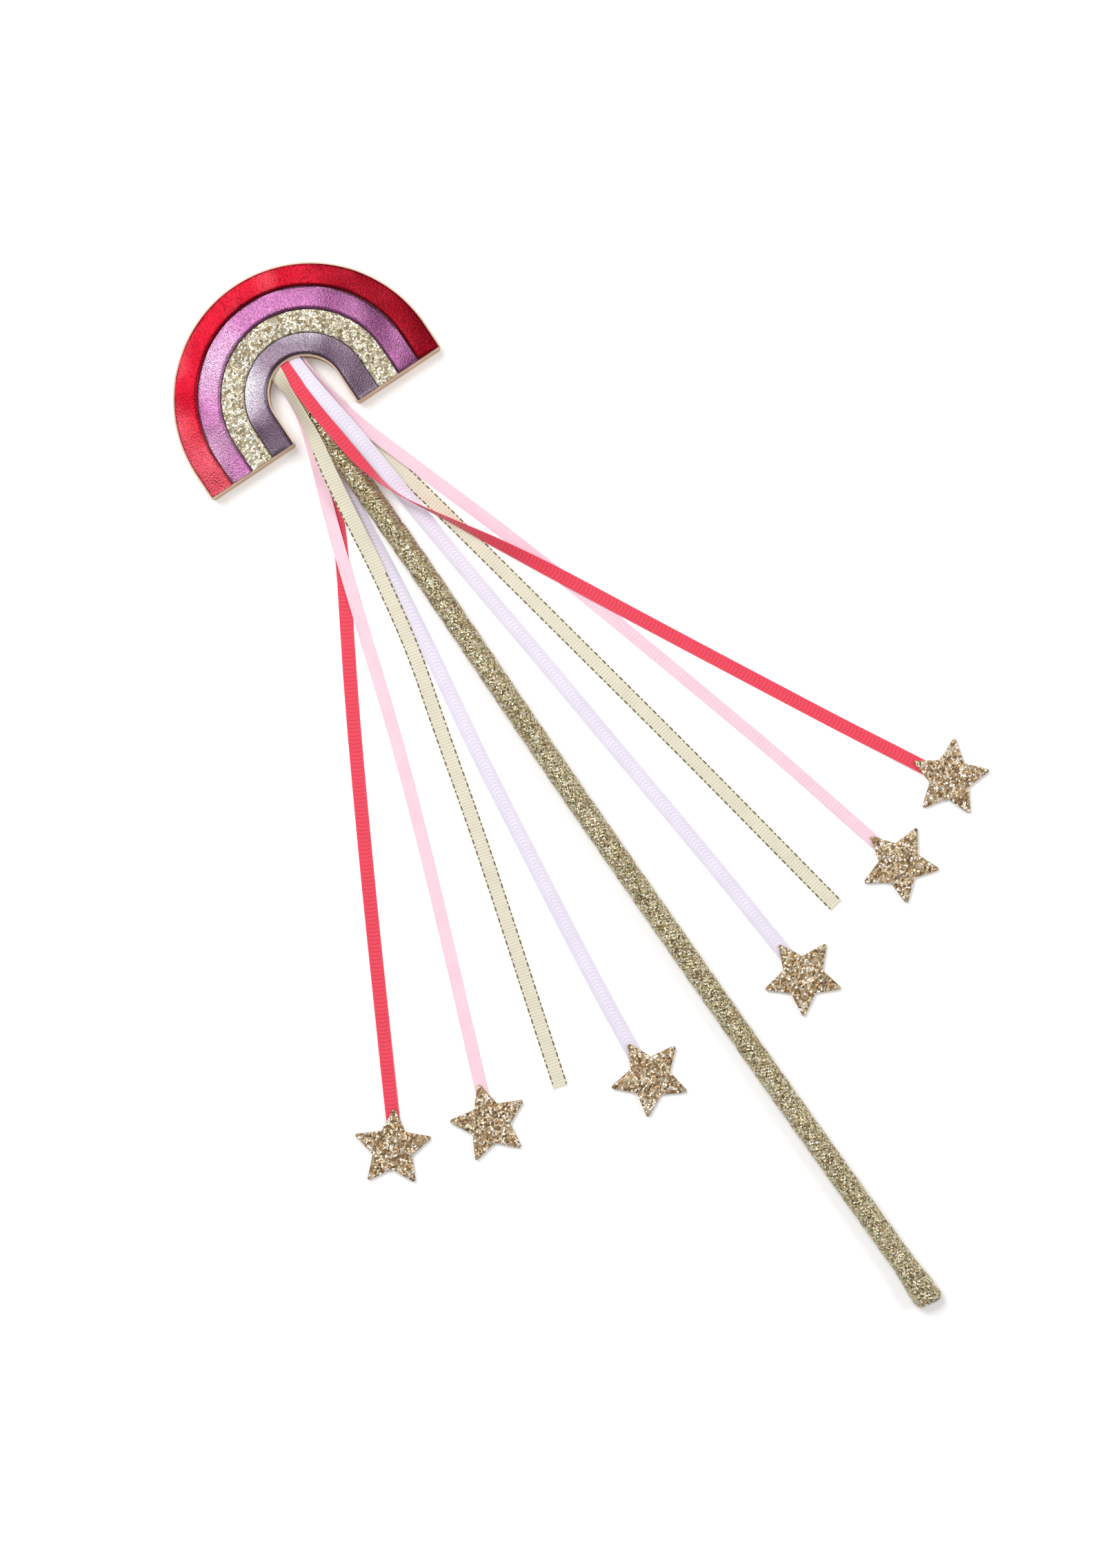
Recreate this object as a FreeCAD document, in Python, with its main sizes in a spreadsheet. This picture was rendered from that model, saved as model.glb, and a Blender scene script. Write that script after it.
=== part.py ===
import math
import os

import FreeCAD
import Part
import Sketcher
from FreeCAD import Placement, Rotation, Vector

# A child's rainbow wand lying face up: +Y runs from the grip end to the rainbow, +X to the
# right, +Z up. The origin is under the middle of the wand, on the surface it lies on.

os.makedirs("parts", exist_ok=True)
doc = FreeCAD.newDocument("rainbow_wand")

# ---------------------------------------------------------------- driving dimensions

SIZES = [
    ("stick_x", -2.0, "stick axis, sideways from the middle of the rainbow"),
    ("stick_axis_z", 4.5, "stick axis above the surface"),
    ("stick_end_y", -186.0, "grip end of the dowel"),
    ("core_radius", 2.4, "bare dowel"),
    ("core_top_y", 182.0, "dowel end inside the rainbow"),
    ("wrap_radius", 3.65, "stick over its glitter wrapping"),
    ("wrap_top_y", 143.0, "first turn of the wrapping"),
    ("wrap_taper", 10.0, "length over which the first turn builds up"),
    ("wrap_start_radius", 2.7, "radius where the first turn begins"),
    ("fit_gap", 0.05, "glue line around the dowel and the wrapping"),
    ("fold_radius", 4.5, "folded end of the wrapping"),
    ("fold_top_y", -173.5, "where the fold begins"),
    ("fold_shoulder_y", -180.5, "where the fold is at its full radius"),
    ("fold_end_y", -187.2, "end face of the fold"),
    ("fold_round", 1.6, "rounded rim of the fold"),
    ("fold_step", 0.25, "height of the fold's top edge over the wrapping"),
    ("head_y", 145.5, "centre of the outer arc of the rainbow"),
    ("head_turn", -1.1, "turn of the rainbow on the stick, degrees"),
    ("foot_drop", 8.6, "feet below the centre of the outer arc"),
    ("outer_half", 41.7, "rainbow half width"),
    ("outer_crown", 41.7, "rainbow crown above the centre"),
    ("rim_half", 41.25, "outside of the red band"),
    ("red_half", 33.7, "joint of the red and magenta bands"),
    ("red_crown", 34.6, "its crown above the centre"),
    ("magenta_half", 26.5, "joint of the magenta and gold bands"),
    ("magenta_crown", 27.6, "its crown above the centre"),
    ("gold_half", 19.2, "joint of the gold and purple bands"),
    ("gold_crown", 20.6, "its crown above the centre"),
    ("purple_half", 11.75, "inside of the purple band"),
    ("purple_crown", 14.25, "its crown above the centre"),
    ("opening_half", 11.3, "half width of the opening under the arch"),
    ("opening_crown", 13.8, "its crown above the centre"),
    ("band_gap", 0.06, "half of the dark line between two bands"),
    ("edge_step", 0.45, "bands stand back from the base by this much"),
    ("pad_inset", 0.5, "padding stands back from the panels by this much"),
    ("corner_round", 1.3, "corners of the feet"),
    ("pocket_mouth_y", 155.3, "pockets and bore start below the crown of the opening"),
    ("pocket_end_y", 167.0, "pockets end just past the ribbons' glued ends"),
    ("back_thick", 1.0, "back panel"),
    ("pad_thick", 6.7, "padding"),
    ("base_thick", 0.9, "front base"),
    ("band_thick", 1.0, "bands"),
    ("ribbon_thick", 0.3, "ribbon"),
    ("red_width", 4.15, "red grosgrain ribbon"),
    ("cream_width", 4.6, "cream stitched ribbon"),
    ("lilac_width", 4.7, "lilac grosgrain ribbon"),
    ("pink_width", 3.8, "pink ribbon"),
    ("bend_y", 10.0, "line across the ribbons where they bend"),
    ("bend_gap", 0.8, "gap between the two lengths of a ribbon at its bend"),
    ("star_radius", 12.0, "star centre to tip"),
    ("star_inner", 6.25, "star centre to inner corner"),
    ("star_round", 0.6, "rounded tips of a star"),
    ("star_thick", 1.0, "one layer of a star"),
    ("tab_length", 7.0, "ribbon end held in a star, from its hinge"),
    ("tab_gap", 0.6, "gap between a ribbon and its tab at the hinge"),
]

sheet = doc.addObject("Spreadsheet::Sheet", "Sizes")
for row, (alias, value, note) in enumerate(SIZES, start=1):
    sheet.set(f"A{row}", note)
    sheet.set(f"B{row}", str(value))
    sheet.setAlias(f"B{row}", alias)
doc.recompute()


def size(alias):
    """The value of one driving dimension."""
    return float(sheet.get(alias))


# ---------------------------------------------------------------- ribbon routes

# Middle line of each ribbon from its glued end to its cut end: right, along, up. Each one
# comes out of the arch, drapes over or beside the stick and runs out along the surface.
ROUTES = {
    "red_left": [
        (-2.9, 166, 1.2), (-3.0, 156, 1.2), (-4.2, 145, 0.55), (-7.0, 133, 0.15), (-12.4, 115, 0.15),
        (-20.3, 100, 0.15), (-31.0, 82.5, 0.15), (-43.0, 62.5, 0.15), (-55.9, 40, 0.15),
        (-72.8, 10, 0.15), (-89.5, -20.3, 0.15), (-99.7, -38.9, 0.85), (-105.9, -50.3, 0.85),
    ],
    "pink_left": [
        (-2.9, 166, 1.9), (-3.0, 156, 1.9), (-4.4, 144.5, 1.75), (-8.0, 133, 1.9), (-15.0, 115, 1.6),
        (-20.2, 100, 1.2), (-26.8, 80, 0.6), (-36.4, 50, 0.15), (-47.3, 20, 0.15),
        (-59.0, -10, 0.15), (-66.0, -27.6, 0.15), (-73.5, -46.2, 0.85), (-78.3, -58.3, 0.85),
    ],
    "cream_left": [
        (-4.0, 166, 7.1), (-4.0, 156, 7.15), (-4.4, 147, 7.6), (-5.4, 137, 8.4), (-8.2, 124, 6.6),
        (-10.5, 109, 3.2), (-12.9, 92, 0.9), (-17.8, 66, 0.5), (-24.2, 44, 0.15),
        (-33.2, 10.5, 0.15), (-42.3, -20, 0.15), (-50.8, -48, 0.15), (-57.1, -69, 0.15),
    ],
    "lilac_left": [
        (-2.9, 166, 1.55), (-3.0, 156, 1.55), (-4.2, 144, 1.05), (-5.7, 132, 0.75), (-7.2, 118, 0.5),
        (-8.6, 104, 0.15), (-10.6, 86, 0.15), (-14.3, 60, 0.15), (-19.6, 29.5, 0.15),
        (-24.3, -5, 0.15), (-29.0, -39, 0.15), (-31.7, -62.3, 0.85), (-33.0, -75.2, 0.85),
    ],
    "lilac_right": [
        (2.2, 166, 7.1), (2.2, 156, 7.1), (3.3, 144, 7.3), (5.0, 131, 6.3), (6.3, 115, 2.8),
        (7.5, 99, 0.6), (9.4, 75, 0.15), (12.6, 42, 0.15), (15.6, 7, 0.15), (18.3, -22.5, 0.15),
        (20.2, -44.5, 0.15), (21.5, -63.5, 0.85), (22.5, -76.5, 0.85),
    ],
    "cream_right": [
        (2.6, 166, 3.0), (2.6, 156, 3.0), (3.2, 145, 2.5), (5.6, 134, 1.6), (9.5, 117, 0.8),
        (12.8, 100, 0.3), (16.2, 82, 0.15), (20.2, 60, 0.15), (26.5, 25.5, 0.15),
        (32.6, -8, 0.15), (38.4, -42, 0.15), (43.4, -71.5, 0.15),
    ],
    "pink_right": [
        (4.0, 166, 5.0), (4.1, 156, 5.0), (5.2, 145, 4.4), (8.0, 131.5, 3.2), (13.4, 115.5, 1.4),
        (18.9, 99, 0.5), (25.5, 79.5, 0.15), (32.9, 55, 0.15), (40.0, 30, 0.15), (48.3, 0, 0.15),
        (54.4, -22.2, 0.15), (58.7, -39.8, 0.2), (62.0, -53.3, 0.85), (65.1, -65.9, 0.85),
    ],
    "red_right": [
        (-1.0, 166, 7.5), (-1.0, 156, 7.5), (-0.7, 145, 8.1), (0.3, 133, 8.8), (1.7, 120, 8.1),
        (4.9, 107.5, 5.7), (11.2, 96.5, 4.0), (20.6, 80, 2.7), (31.3, 60, 1.2), (41.4, 40, 0.5),
        (54.2, 15, 0.15), (67.1, -10, 0.15), (76.6, -28.3, 0.2), (84.2, -42.4, 0.85),
        (90.3, -53.9, 0.85),
    ],
}

# Centre of each star and the turn of its upper tip, degrees clockwise from +Y.
STARS = {
    "red_left": (-109.6, -54.9, 37.0),
    "pink_left": (-80.9, -65.4, 19.0),
    "lilac_left": (-33.0, -81.8, 2.0),
    "lilac_right": (22.7, -83.3, -2.0),
    "pink_right": (66.4, -71.9, -11.5),
    "red_right": (93.9, -59.3, -30.5),
}


# ---------------------------------------------------------------- small helpers

SKETCH_ORIGIN = (-1, 1)
ALONG_Y = Rotation(Vector(1, 0, 0), -90)


def new_body(name):
    """An empty body with its own label."""
    body = doc.addObject("PartDesign::Body", name)
    body.Label = name
    return body


def new_sketch(body, name):
    """A sketch on the body's own level plane."""
    plane = next(item for item in body.Origin.OriginFeatures if item.Role == "XY_Plane")
    sketch = body.newObject("Sketcher::SketchObject", name)
    sketch.AttachmentSupport = [(plane, "")]
    sketch.MapMode = "FlatFace"
    return sketch


def bind(sketch, name, index, expression):
    """Name a constraint and drive it from the sheet."""
    sketch.renameConstraint(index, name)
    sketch.setExpression(f"Constraints.{name}", expression)


def pad(body, sketch, expression):
    """Pad a sketch by a length from the sheet."""
    feature = body.newObject("PartDesign::Pad", f"{sketch.Name}_pad")
    feature.Profile = sketch
    feature.setExpression("Length", expression)
    return feature


# ---------------------------------------------------------------- stick

def stick_core():
    """Bare dowel from the grip end into the rainbow."""
    core = doc.addObject("Part::Cylinder", "stick_core")
    core.Label = "stick_core"
    core.setExpression("Radius", "Sizes.core_radius")
    core.setExpression("Height", "Sizes.core_top_y - Sizes.stick_end_y")
    core.Placement = Placement(Vector(size("stick_x"), size("stick_end_y"), size("stick_axis_z")), ALONG_Y)
    return core


def closed_profile(sketch, corners):
    """Straight-sided closed outline; each corner is (radius expression, y expression)."""
    values = [(evaluate(sketch, across), evaluate(sketch, along)) for across, along in corners]
    count = len(corners)
    for index in range(count):
        start = Vector(*values[index], 0)
        end = Vector(*values[(index + 1) % count], 0)
        sketch.addGeometry(Part.LineSegment(start, end), False)
    for index in range(count):
        sketch.addConstraint(Sketcher.Constraint("Coincident", index, 2, (index + 1) % count, 1))
    for index, (across, along) in enumerate(corners):
        place = sketch.addConstraint(
            Sketcher.Constraint("DistanceX", *SKETCH_ORIGIN, index, 1, values[index][0]))
        bind(sketch, f"across_{index}", place, across)
        place = sketch.addConstraint(
            Sketcher.Constraint("DistanceY", *SKETCH_ORIGIN, index, 1, values[index][1]))
        bind(sketch, f"along_{index}", place, along)


def evaluate(obj, expression):
    """The number that an expression has now."""
    result = obj.evalExpression(expression)
    return float(getattr(result, "Value", result))


def revolved(name, corners):
    """A body turned about the stick's axis from an outline of radii and lengths."""
    body = new_body(name)
    sketch = new_sketch(body, f"{name}_outline")
    closed_profile(sketch, corners)
    turn = body.newObject("PartDesign::Revolution", f"{name}_turned")
    turn.Profile = sketch
    turn.ReferenceAxis = (sketch, ["V_Axis"])
    turn.Angle = 360
    body.Placement = Placement(Vector(size("stick_x"), 0, size("stick_axis_z")), Rotation())
    return body


def stick_wrap():
    """Glitter strip wound round the dowel, as one sleeve."""
    inner = "Sizes.core_radius + Sizes.fit_gap"
    end = "Sizes.stick_end_y"
    return revolved("stick_wrap", [
        (inner, end),
        ("Sizes.wrap_radius", end),
        ("Sizes.wrap_radius", "Sizes.wrap_top_y - Sizes.wrap_taper"),
        ("Sizes.wrap_start_radius", "Sizes.wrap_top_y"),
        (inner, "Sizes.wrap_top_y"),
    ])


def wrap_end_fold():
    """Folded end of the strip, closed over the end of the dowel."""
    inner = "Sizes.wrap_radius + Sizes.fit_gap"
    floor = "Sizes.stick_end_y - Sizes.fit_gap"
    return revolved("wrap_end_fold", [
        ("0", "Sizes.fold_end_y"),
        ("Sizes.fold_radius - Sizes.fold_round", "Sizes.fold_end_y"),
        ("Sizes.fold_radius - Sizes.fold_round * 0.3", "Sizes.fold_end_y + Sizes.fold_round * 0.3"),
        ("Sizes.fold_radius", "Sizes.fold_end_y + Sizes.fold_round"),
        ("Sizes.fold_radius", "Sizes.fold_shoulder_y"),
        (f"{inner} + Sizes.fold_step", "Sizes.fold_top_y"),
        (inner, "Sizes.fold_top_y"),
        (inner, floor),
        ("0", floor),
    ])


# ---------------------------------------------------------------- rainbow

LEFT_OUT, OUTER_ARC, RIGHT_OUT, RIGHT_FOOT, RIGHT_IN, INNER_ARC, LEFT_IN, LEFT_FOOT = range(8)


def arch(name, outer, inner, foot, thick):
    """An arch plate with straight legs. outer and inner are (half width, crown) expressions."""
    body = new_body(name)
    sketch = new_sketch(body, f"{name}_outline")
    out_half, out_crown = (evaluate(sketch, text) for text in outer)
    in_half, in_crown = (evaluate(sketch, text) for text in inner)
    ground = evaluate(sketch, foot)
    out_centre = out_crown - out_half
    in_centre = in_crown - in_half

    def line(x_from, y_from, x_to, y_to):
        start = Vector(x_from, y_from, 0)
        sketch.addGeometry(Part.LineSegment(start, Vector(x_to, y_to, 0)), False)

    def half_circle(centre, radius):
        circle = Part.Circle(Vector(0, centre, 0), Vector(0, 0, 1), radius)
        sketch.addGeometry(Part.ArcOfCircle(circle, 0, math.pi), False)

    line(-out_half, ground, -out_half, out_centre)
    half_circle(out_centre, out_half)
    line(out_half, out_centre, out_half, ground)
    line(out_half, ground, in_half, ground)
    line(in_half, ground, in_half, in_centre)
    half_circle(in_centre, in_half)
    line(-in_half, in_centre, -in_half, ground)
    line(-in_half, ground, -out_half, ground)

    joined = [
        (LEFT_OUT, 2, OUTER_ARC, 2), (OUTER_ARC, 1, RIGHT_OUT, 1), (RIGHT_OUT, 2, RIGHT_FOOT, 1),
        (RIGHT_FOOT, 2, RIGHT_IN, 1), (RIGHT_IN, 2, INNER_ARC, 1), (INNER_ARC, 2, LEFT_IN, 1),
        (LEFT_IN, 2, LEFT_FOOT, 1), (LEFT_FOOT, 2, LEFT_OUT, 1),
    ]
    for ends in joined:
        sketch.addConstraint(Sketcher.Constraint("Coincident", *ends))
    for upright in (LEFT_OUT, RIGHT_OUT, RIGHT_IN, LEFT_IN):
        sketch.addConstraint(Sketcher.Constraint("Vertical", upright))
    for level in (RIGHT_FOOT, LEFT_FOOT):
        sketch.addConstraint(Sketcher.Constraint("Horizontal", level))
    for curve, tag, half, crown in ((OUTER_ARC, "outer", outer[0], outer[1]),
                                    (INNER_ARC, "inner", inner[0], inner[1])):
        sketch.addConstraint(Sketcher.Constraint("PointOnObject", curve, 3, -2))
        radius = sketch.addConstraint(
            Sketcher.Constraint("Radius", curve, evaluate(sketch, half)))
        bind(sketch, f"{tag}_radius", radius, half)
        centre = f"({crown}) - ({half})"
        height = sketch.addConstraint(
            Sketcher.Constraint("DistanceY", *SKETCH_ORIGIN, curve, 3, evaluate(sketch, centre)))
        bind(sketch, f"{tag}_centre", height, centre)
        for end in (1, 2):
            height = sketch.addConstraint(
                Sketcher.Constraint("DistanceY", *SKETCH_ORIGIN, curve, end, evaluate(sketch, centre)))
            bind(sketch, f"{tag}_spring_{end}", height, centre)
    for tag, level in (("left", LEFT_FOOT), ("right", RIGHT_FOOT)):
        height = sketch.addConstraint(
            Sketcher.Constraint("DistanceY", *SKETCH_ORIGIN, level, 1, ground))
        bind(sketch, f"{tag}_foot", height, foot)
    pad(body, sketch, thick)
    return body


def round_feet(body, half_widths):
    """Round the upright corner edges of the feet at the given half widths."""
    doc.recompute()
    plate = body.Tip
    names = []
    for index, edge in enumerate(plate.Shape.Edges, start=1):
        first = edge.Vertexes[0].Point
        last = edge.Vertexes[-1].Point
        upright = abs(first.x - last.x) < 1e-6 and abs(first.y - last.y) < 1e-6
        at_foot = first.y < -0.5 * size("foot_drop")
        if upright and at_foot and any(abs(abs(first.x) - half) < 1e-3 for half in half_widths):
            names.append(f"Edge{index}")
    fillet = body.newObject("PartDesign::Fillet", f"{body.Name}_rounds")
    fillet.Base = (plate, names)
    fillet.setExpression("Radius", "Sizes.corner_round")


def in_head(body, height):
    """Place a rainbow layer at its height, turned with the rainbow on the stick."""
    turn = Rotation(Vector(0, 0, 1), size("head_turn"))
    body.Placement = Placement(Vector(0, size("head_y"), height), turn)


def head_layers():
    """Back panel, padding, front base and the four bands."""
    pad_bottom = size("back_thick")
    base_bottom = pad_bottom + size("pad_thick")
    band_bottom = base_bottom + size("base_thick")
    outline = ("Sizes.outer_half", "Sizes.outer_crown")
    opening = ("Sizes.opening_half", "Sizes.opening_crown")
    foot = "-Sizes.foot_drop"

    back = arch("back_panel", outline, opening, foot, "Sizes.back_thick")
    round_feet(back, (size("outer_half"), size("opening_half")))
    in_head(back, 0)
    base = arch("front_base", outline, opening, foot, "Sizes.base_thick")
    round_feet(base, (size("outer_half"), size("opening_half")))
    in_head(base, base_bottom)

    stuffing = arch(
        "padding_blank",
        ("Sizes.outer_half - Sizes.pad_inset", "Sizes.outer_crown - Sizes.pad_inset"),
        ("Sizes.opening_half + Sizes.pad_inset", "Sizes.opening_crown + Sizes.pad_inset"),
        "-Sizes.foot_drop + Sizes.pad_inset", "Sizes.pad_thick")
    in_head(stuffing, pad_bottom)
    padding = hollowed_padding(stuffing)

    edges = [
        ("band_red", "rim", "red"),
        ("band_magenta", "red", "magenta"),
        ("band_gold", "magenta", "gold"),
        ("band_purple", "gold", "purple"),
    ]
    bands = []
    for name, outside, inside in edges:
        outer_gap = "0" if outside == "rim" else "Sizes.band_gap"
        inner_gap = "0" if inside == "purple" else "Sizes.band_gap"
        out_half = f"Sizes.{outside}_half - {outer_gap}"
        out_crown = "Sizes.outer_crown - Sizes.edge_step" if outside == "rim" \
            else f"Sizes.{outside}_crown - {outer_gap}"
        inner = (f"Sizes.{inside}_half + {inner_gap}", f"Sizes.{inside}_crown + {inner_gap}")
        band = arch(name, (out_half, out_crown), inner, "-Sizes.foot_drop + Sizes.edge_step",
                    "Sizes.band_thick")
        in_head(band, band_bottom)
        bands.append(band)
    round_feet(bands[0], (size("rim_half"),))
    round_feet(bands[-1], (size("purple_half"),))
    return [back, padding, base] + bands


def cutter_box(name, low, high):
    """A box between two corners, used to cut a pocket."""
    box = doc.addObject("Part::Box", name)
    box.Length = high[0] - low[0]
    box.Width = high[1] - low[1]
    box.Height = high[2] - low[2]
    box.Placement = Placement(Vector(*low), Rotation())
    return box


# Pockets for the ribbon ends: left, right, lowest and highest side of each, in front of,
# beside and behind the dowel. The first and the last break through into the panels' glue.
POCKETS = {
    "front_pocket": (-6.5, 4.8, 5.7, 8.7),
    "side_pocket": (0.2, 6.2, 2.6, 6.5),
    "rear_pocket": (-5.5, -0.3, 0.0, 3.5),
}


def hollowed_padding(stuffing):
    """Padding with the bore for the dowel and the pockets for the ribbon ends."""
    mouth = size("pocket_mouth_y")
    bore = doc.addObject("Part::Cylinder", "dowel_bore")
    bore.setExpression("Radius", "Sizes.core_radius + Sizes.fit_gap")
    bore.setExpression("Height", "Sizes.core_top_y + Sizes.fit_gap - Sizes.pocket_mouth_y")
    bore.Placement = Placement(Vector(size("stick_x"), mouth, size("stick_axis_z")), ALONG_Y)
    cutters = [bore]
    for name, (left, right, low, high) in POCKETS.items():
        cutters.append(cutter_box(name, (left, mouth, low), (right, size("pocket_end_y"), high)))
    pockets = doc.addObject("Part::MultiFuse", "padding_pockets")
    pockets.Shapes = cutters
    padding = doc.addObject("Part::Cut", "foam_pad")
    padding.Base = stuffing
    padding.Tool = pockets
    padding.Label = "foam_pad"
    return padding


# ---------------------------------------------------------------- ribbons

# Share of the shorter neighbouring run that an arc at a corner may take.
BEND_SHARE = 0.45
STRAIGHT = 1e-6
# Prisms and boxes that reach past the whole wand.
PLAN_BOTTOM, PLAN_HEIGHT = -5, 30
DRAPE_LEFT, DRAPE_WIDTH = -130, 260
HALF_SPACE = 400


def rounded_path(points):
    """Runs and tangent arcs through 2-D points: a list of (kind, data), and the arc radii."""
    pieces = []
    radii = []
    cursor = Vector(*points[0], 0)
    for before, here, after in zip(points, points[1:], points[2:]):
        corner = Vector(*here, 0)
        come = corner - Vector(*before, 0)
        leave = Vector(*after, 0) - corner
        turn = come.getAngle(leave)
        if turn < STRAIGHT:
            continue
        reach = BEND_SHARE * min(come.Length, leave.Length)
        radius = reach / math.tan(turn / 2)
        into = come.normalize()
        out = leave.normalize()
        start = corner - into * reach
        end = corner + out * reach
        inward = (out - into).normalize()
        middle = corner + inward * (radius / math.cos(turn / 2) - radius)
        pieces.append(("run", (cursor, start), into))
        pieces.append(("arc", (start, middle, end), into, out))
        radii.append(radius)
        cursor = end
    last = Vector(*points[-1], 0)
    pieces.append(("run", (cursor, last), (last - cursor).normalize()))
    return pieces, radii


def side_of(direction):
    """The level direction at right angles to a path."""
    return Vector(-direction.y, direction.x, 0)


def strip_face(pieces, half, to_space):
    """The face between the two offsets of a path; to_space turns 2-D points into 3-D."""
    def offset_edges(amount):
        edges = []
        for kind, at, *ways in pieces:
            if kind == "run":
                shift = side_of(ways[0]) * amount
                edges.append(Part.LineSegment(to_space(at[0] + shift), to_space(at[1] + shift)).toShape())
            else:
                start = at[0] + side_of(ways[0]) * amount
                end = at[2] + side_of(ways[1]) * amount
                middle = at[1] + side_of((ways[0] + ways[1]).normalize()) * amount
                edges.append(Part.Arc(to_space(start), to_space(middle), to_space(end)).toShape())
        return edges

    left = offset_edges(half)
    right = offset_edges(-half)
    first = Part.LineSegment(right[0].Vertexes[0].Point, left[0].Vertexes[0].Point).toShape()
    last = Part.LineSegment(left[-1].Vertexes[-1].Point, right[-1].Vertexes[-1].Point).toShape()
    wire = Part.Wire(Part.__sortEdges__([first] + left + [last] + right))
    return Part.Face(wire)


def prism(name, face, direction, start, length):
    """A face pushed along a direction as a document object."""
    outline = doc.addObject("Part::Feature", f"{name}_face")
    outline.Shape = face
    outline.Placement = Placement(direction * start, Rotation())
    body = doc.addObject("Part::Extrusion", name)
    body.Base = outline
    body.DirMode = "Custom"
    body.Dir = direction
    body.LengthFwd = length
    body.Solid = True
    return body


def half_space(name, centre, toward):
    """A large box on the far side of an upright plane through a point."""
    box = doc.addObject("Part::Box", name)
    box.Length = 2 * HALF_SPACE
    box.Width = HALF_SPACE
    box.Height = HALF_SPACE
    turn = Rotation(Vector(0, 1, 0), toward)
    corner = centre + turn.multVec(Vector(-HALF_SPACE, 0, 0)) + Vector(0, 0, -HALF_SPACE / 2)
    box.Placement = Placement(corner, turn)
    return box


def common(name, shapes):
    """What several shapes share."""
    node = doc.addObject("Part::MultiCommon", name)
    node.Shapes = shapes
    node.Label = name
    return node


def ribbon_axis_end(route, back):
    """The point that lies back from a ribbon's cut end, and the way the ribbon runs there."""
    end = Vector(*route[-1])
    before = Vector(*route[-2])
    way = (end - before).normalize()
    return end - way * back, way


def ribbon(name, width, route):
    """A ribbon as an upper length, a tail and, where a star holds it, a tab."""
    plan, plan_radii = rounded_path([(x, y) for x, y, z in route])
    rise, rise_radii = rounded_path([(y, z) for x, y, z in route])
    flat = prism(
        f"{name}_plan", strip_face(plan, width / 2, lambda p: p),
        Vector(0, 0, 1), PLAN_BOTTOM, PLAN_HEIGHT)
    thick = size("ribbon_thick")
    drape = prism(
        f"{name}_drape", strip_face(rise, thick / 2, lambda p: Vector(0, p.x, p.y)),
        Vector(1, 0, 0), DRAPE_LEFT, DRAPE_WIDTH)
    bend = size("bend_y")
    gap = size("bend_gap") / 2
    above = half_space(f"{name}_above", Vector(0, bend + gap, 0), Vector(0, 1, 0))
    below = half_space(f"{name}_below", Vector(0, bend - gap, 0), Vector(0, -1, 0))
    nodes = [common(f"ribbon_{name}_upper", [flat, drape, above])]
    if name in STARS:
        hinge, way = ribbon_axis_end(route, size("tab_length"))
        step = way * (size("tab_gap") / 2)
        short = half_space(f"{name}_short", hinge - step, way * -1)
        far = half_space(f"{name}_far", hinge + step, way)
        nodes.append(common(f"ribbon_{name}_tail", [flat, drape, below, short]))
        nodes.append(common(f"ribbon_{name}_tab", [flat, drape, far]))
    else:
        nodes.append(common(f"ribbon_{name}_tail", [flat, drape, below]))
    length = sum((Vector(*end) - Vector(*start)).Length for start, end in zip(route, route[1:]))
    print(f"{name}: length {length:.1f}, width {width}, smallest plan radius {min(plan_radii):.1f}, "
          f"smallest rise radius {min(rise_radii):.1f}")
    return nodes, length


# ---------------------------------------------------------------- stars

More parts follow.
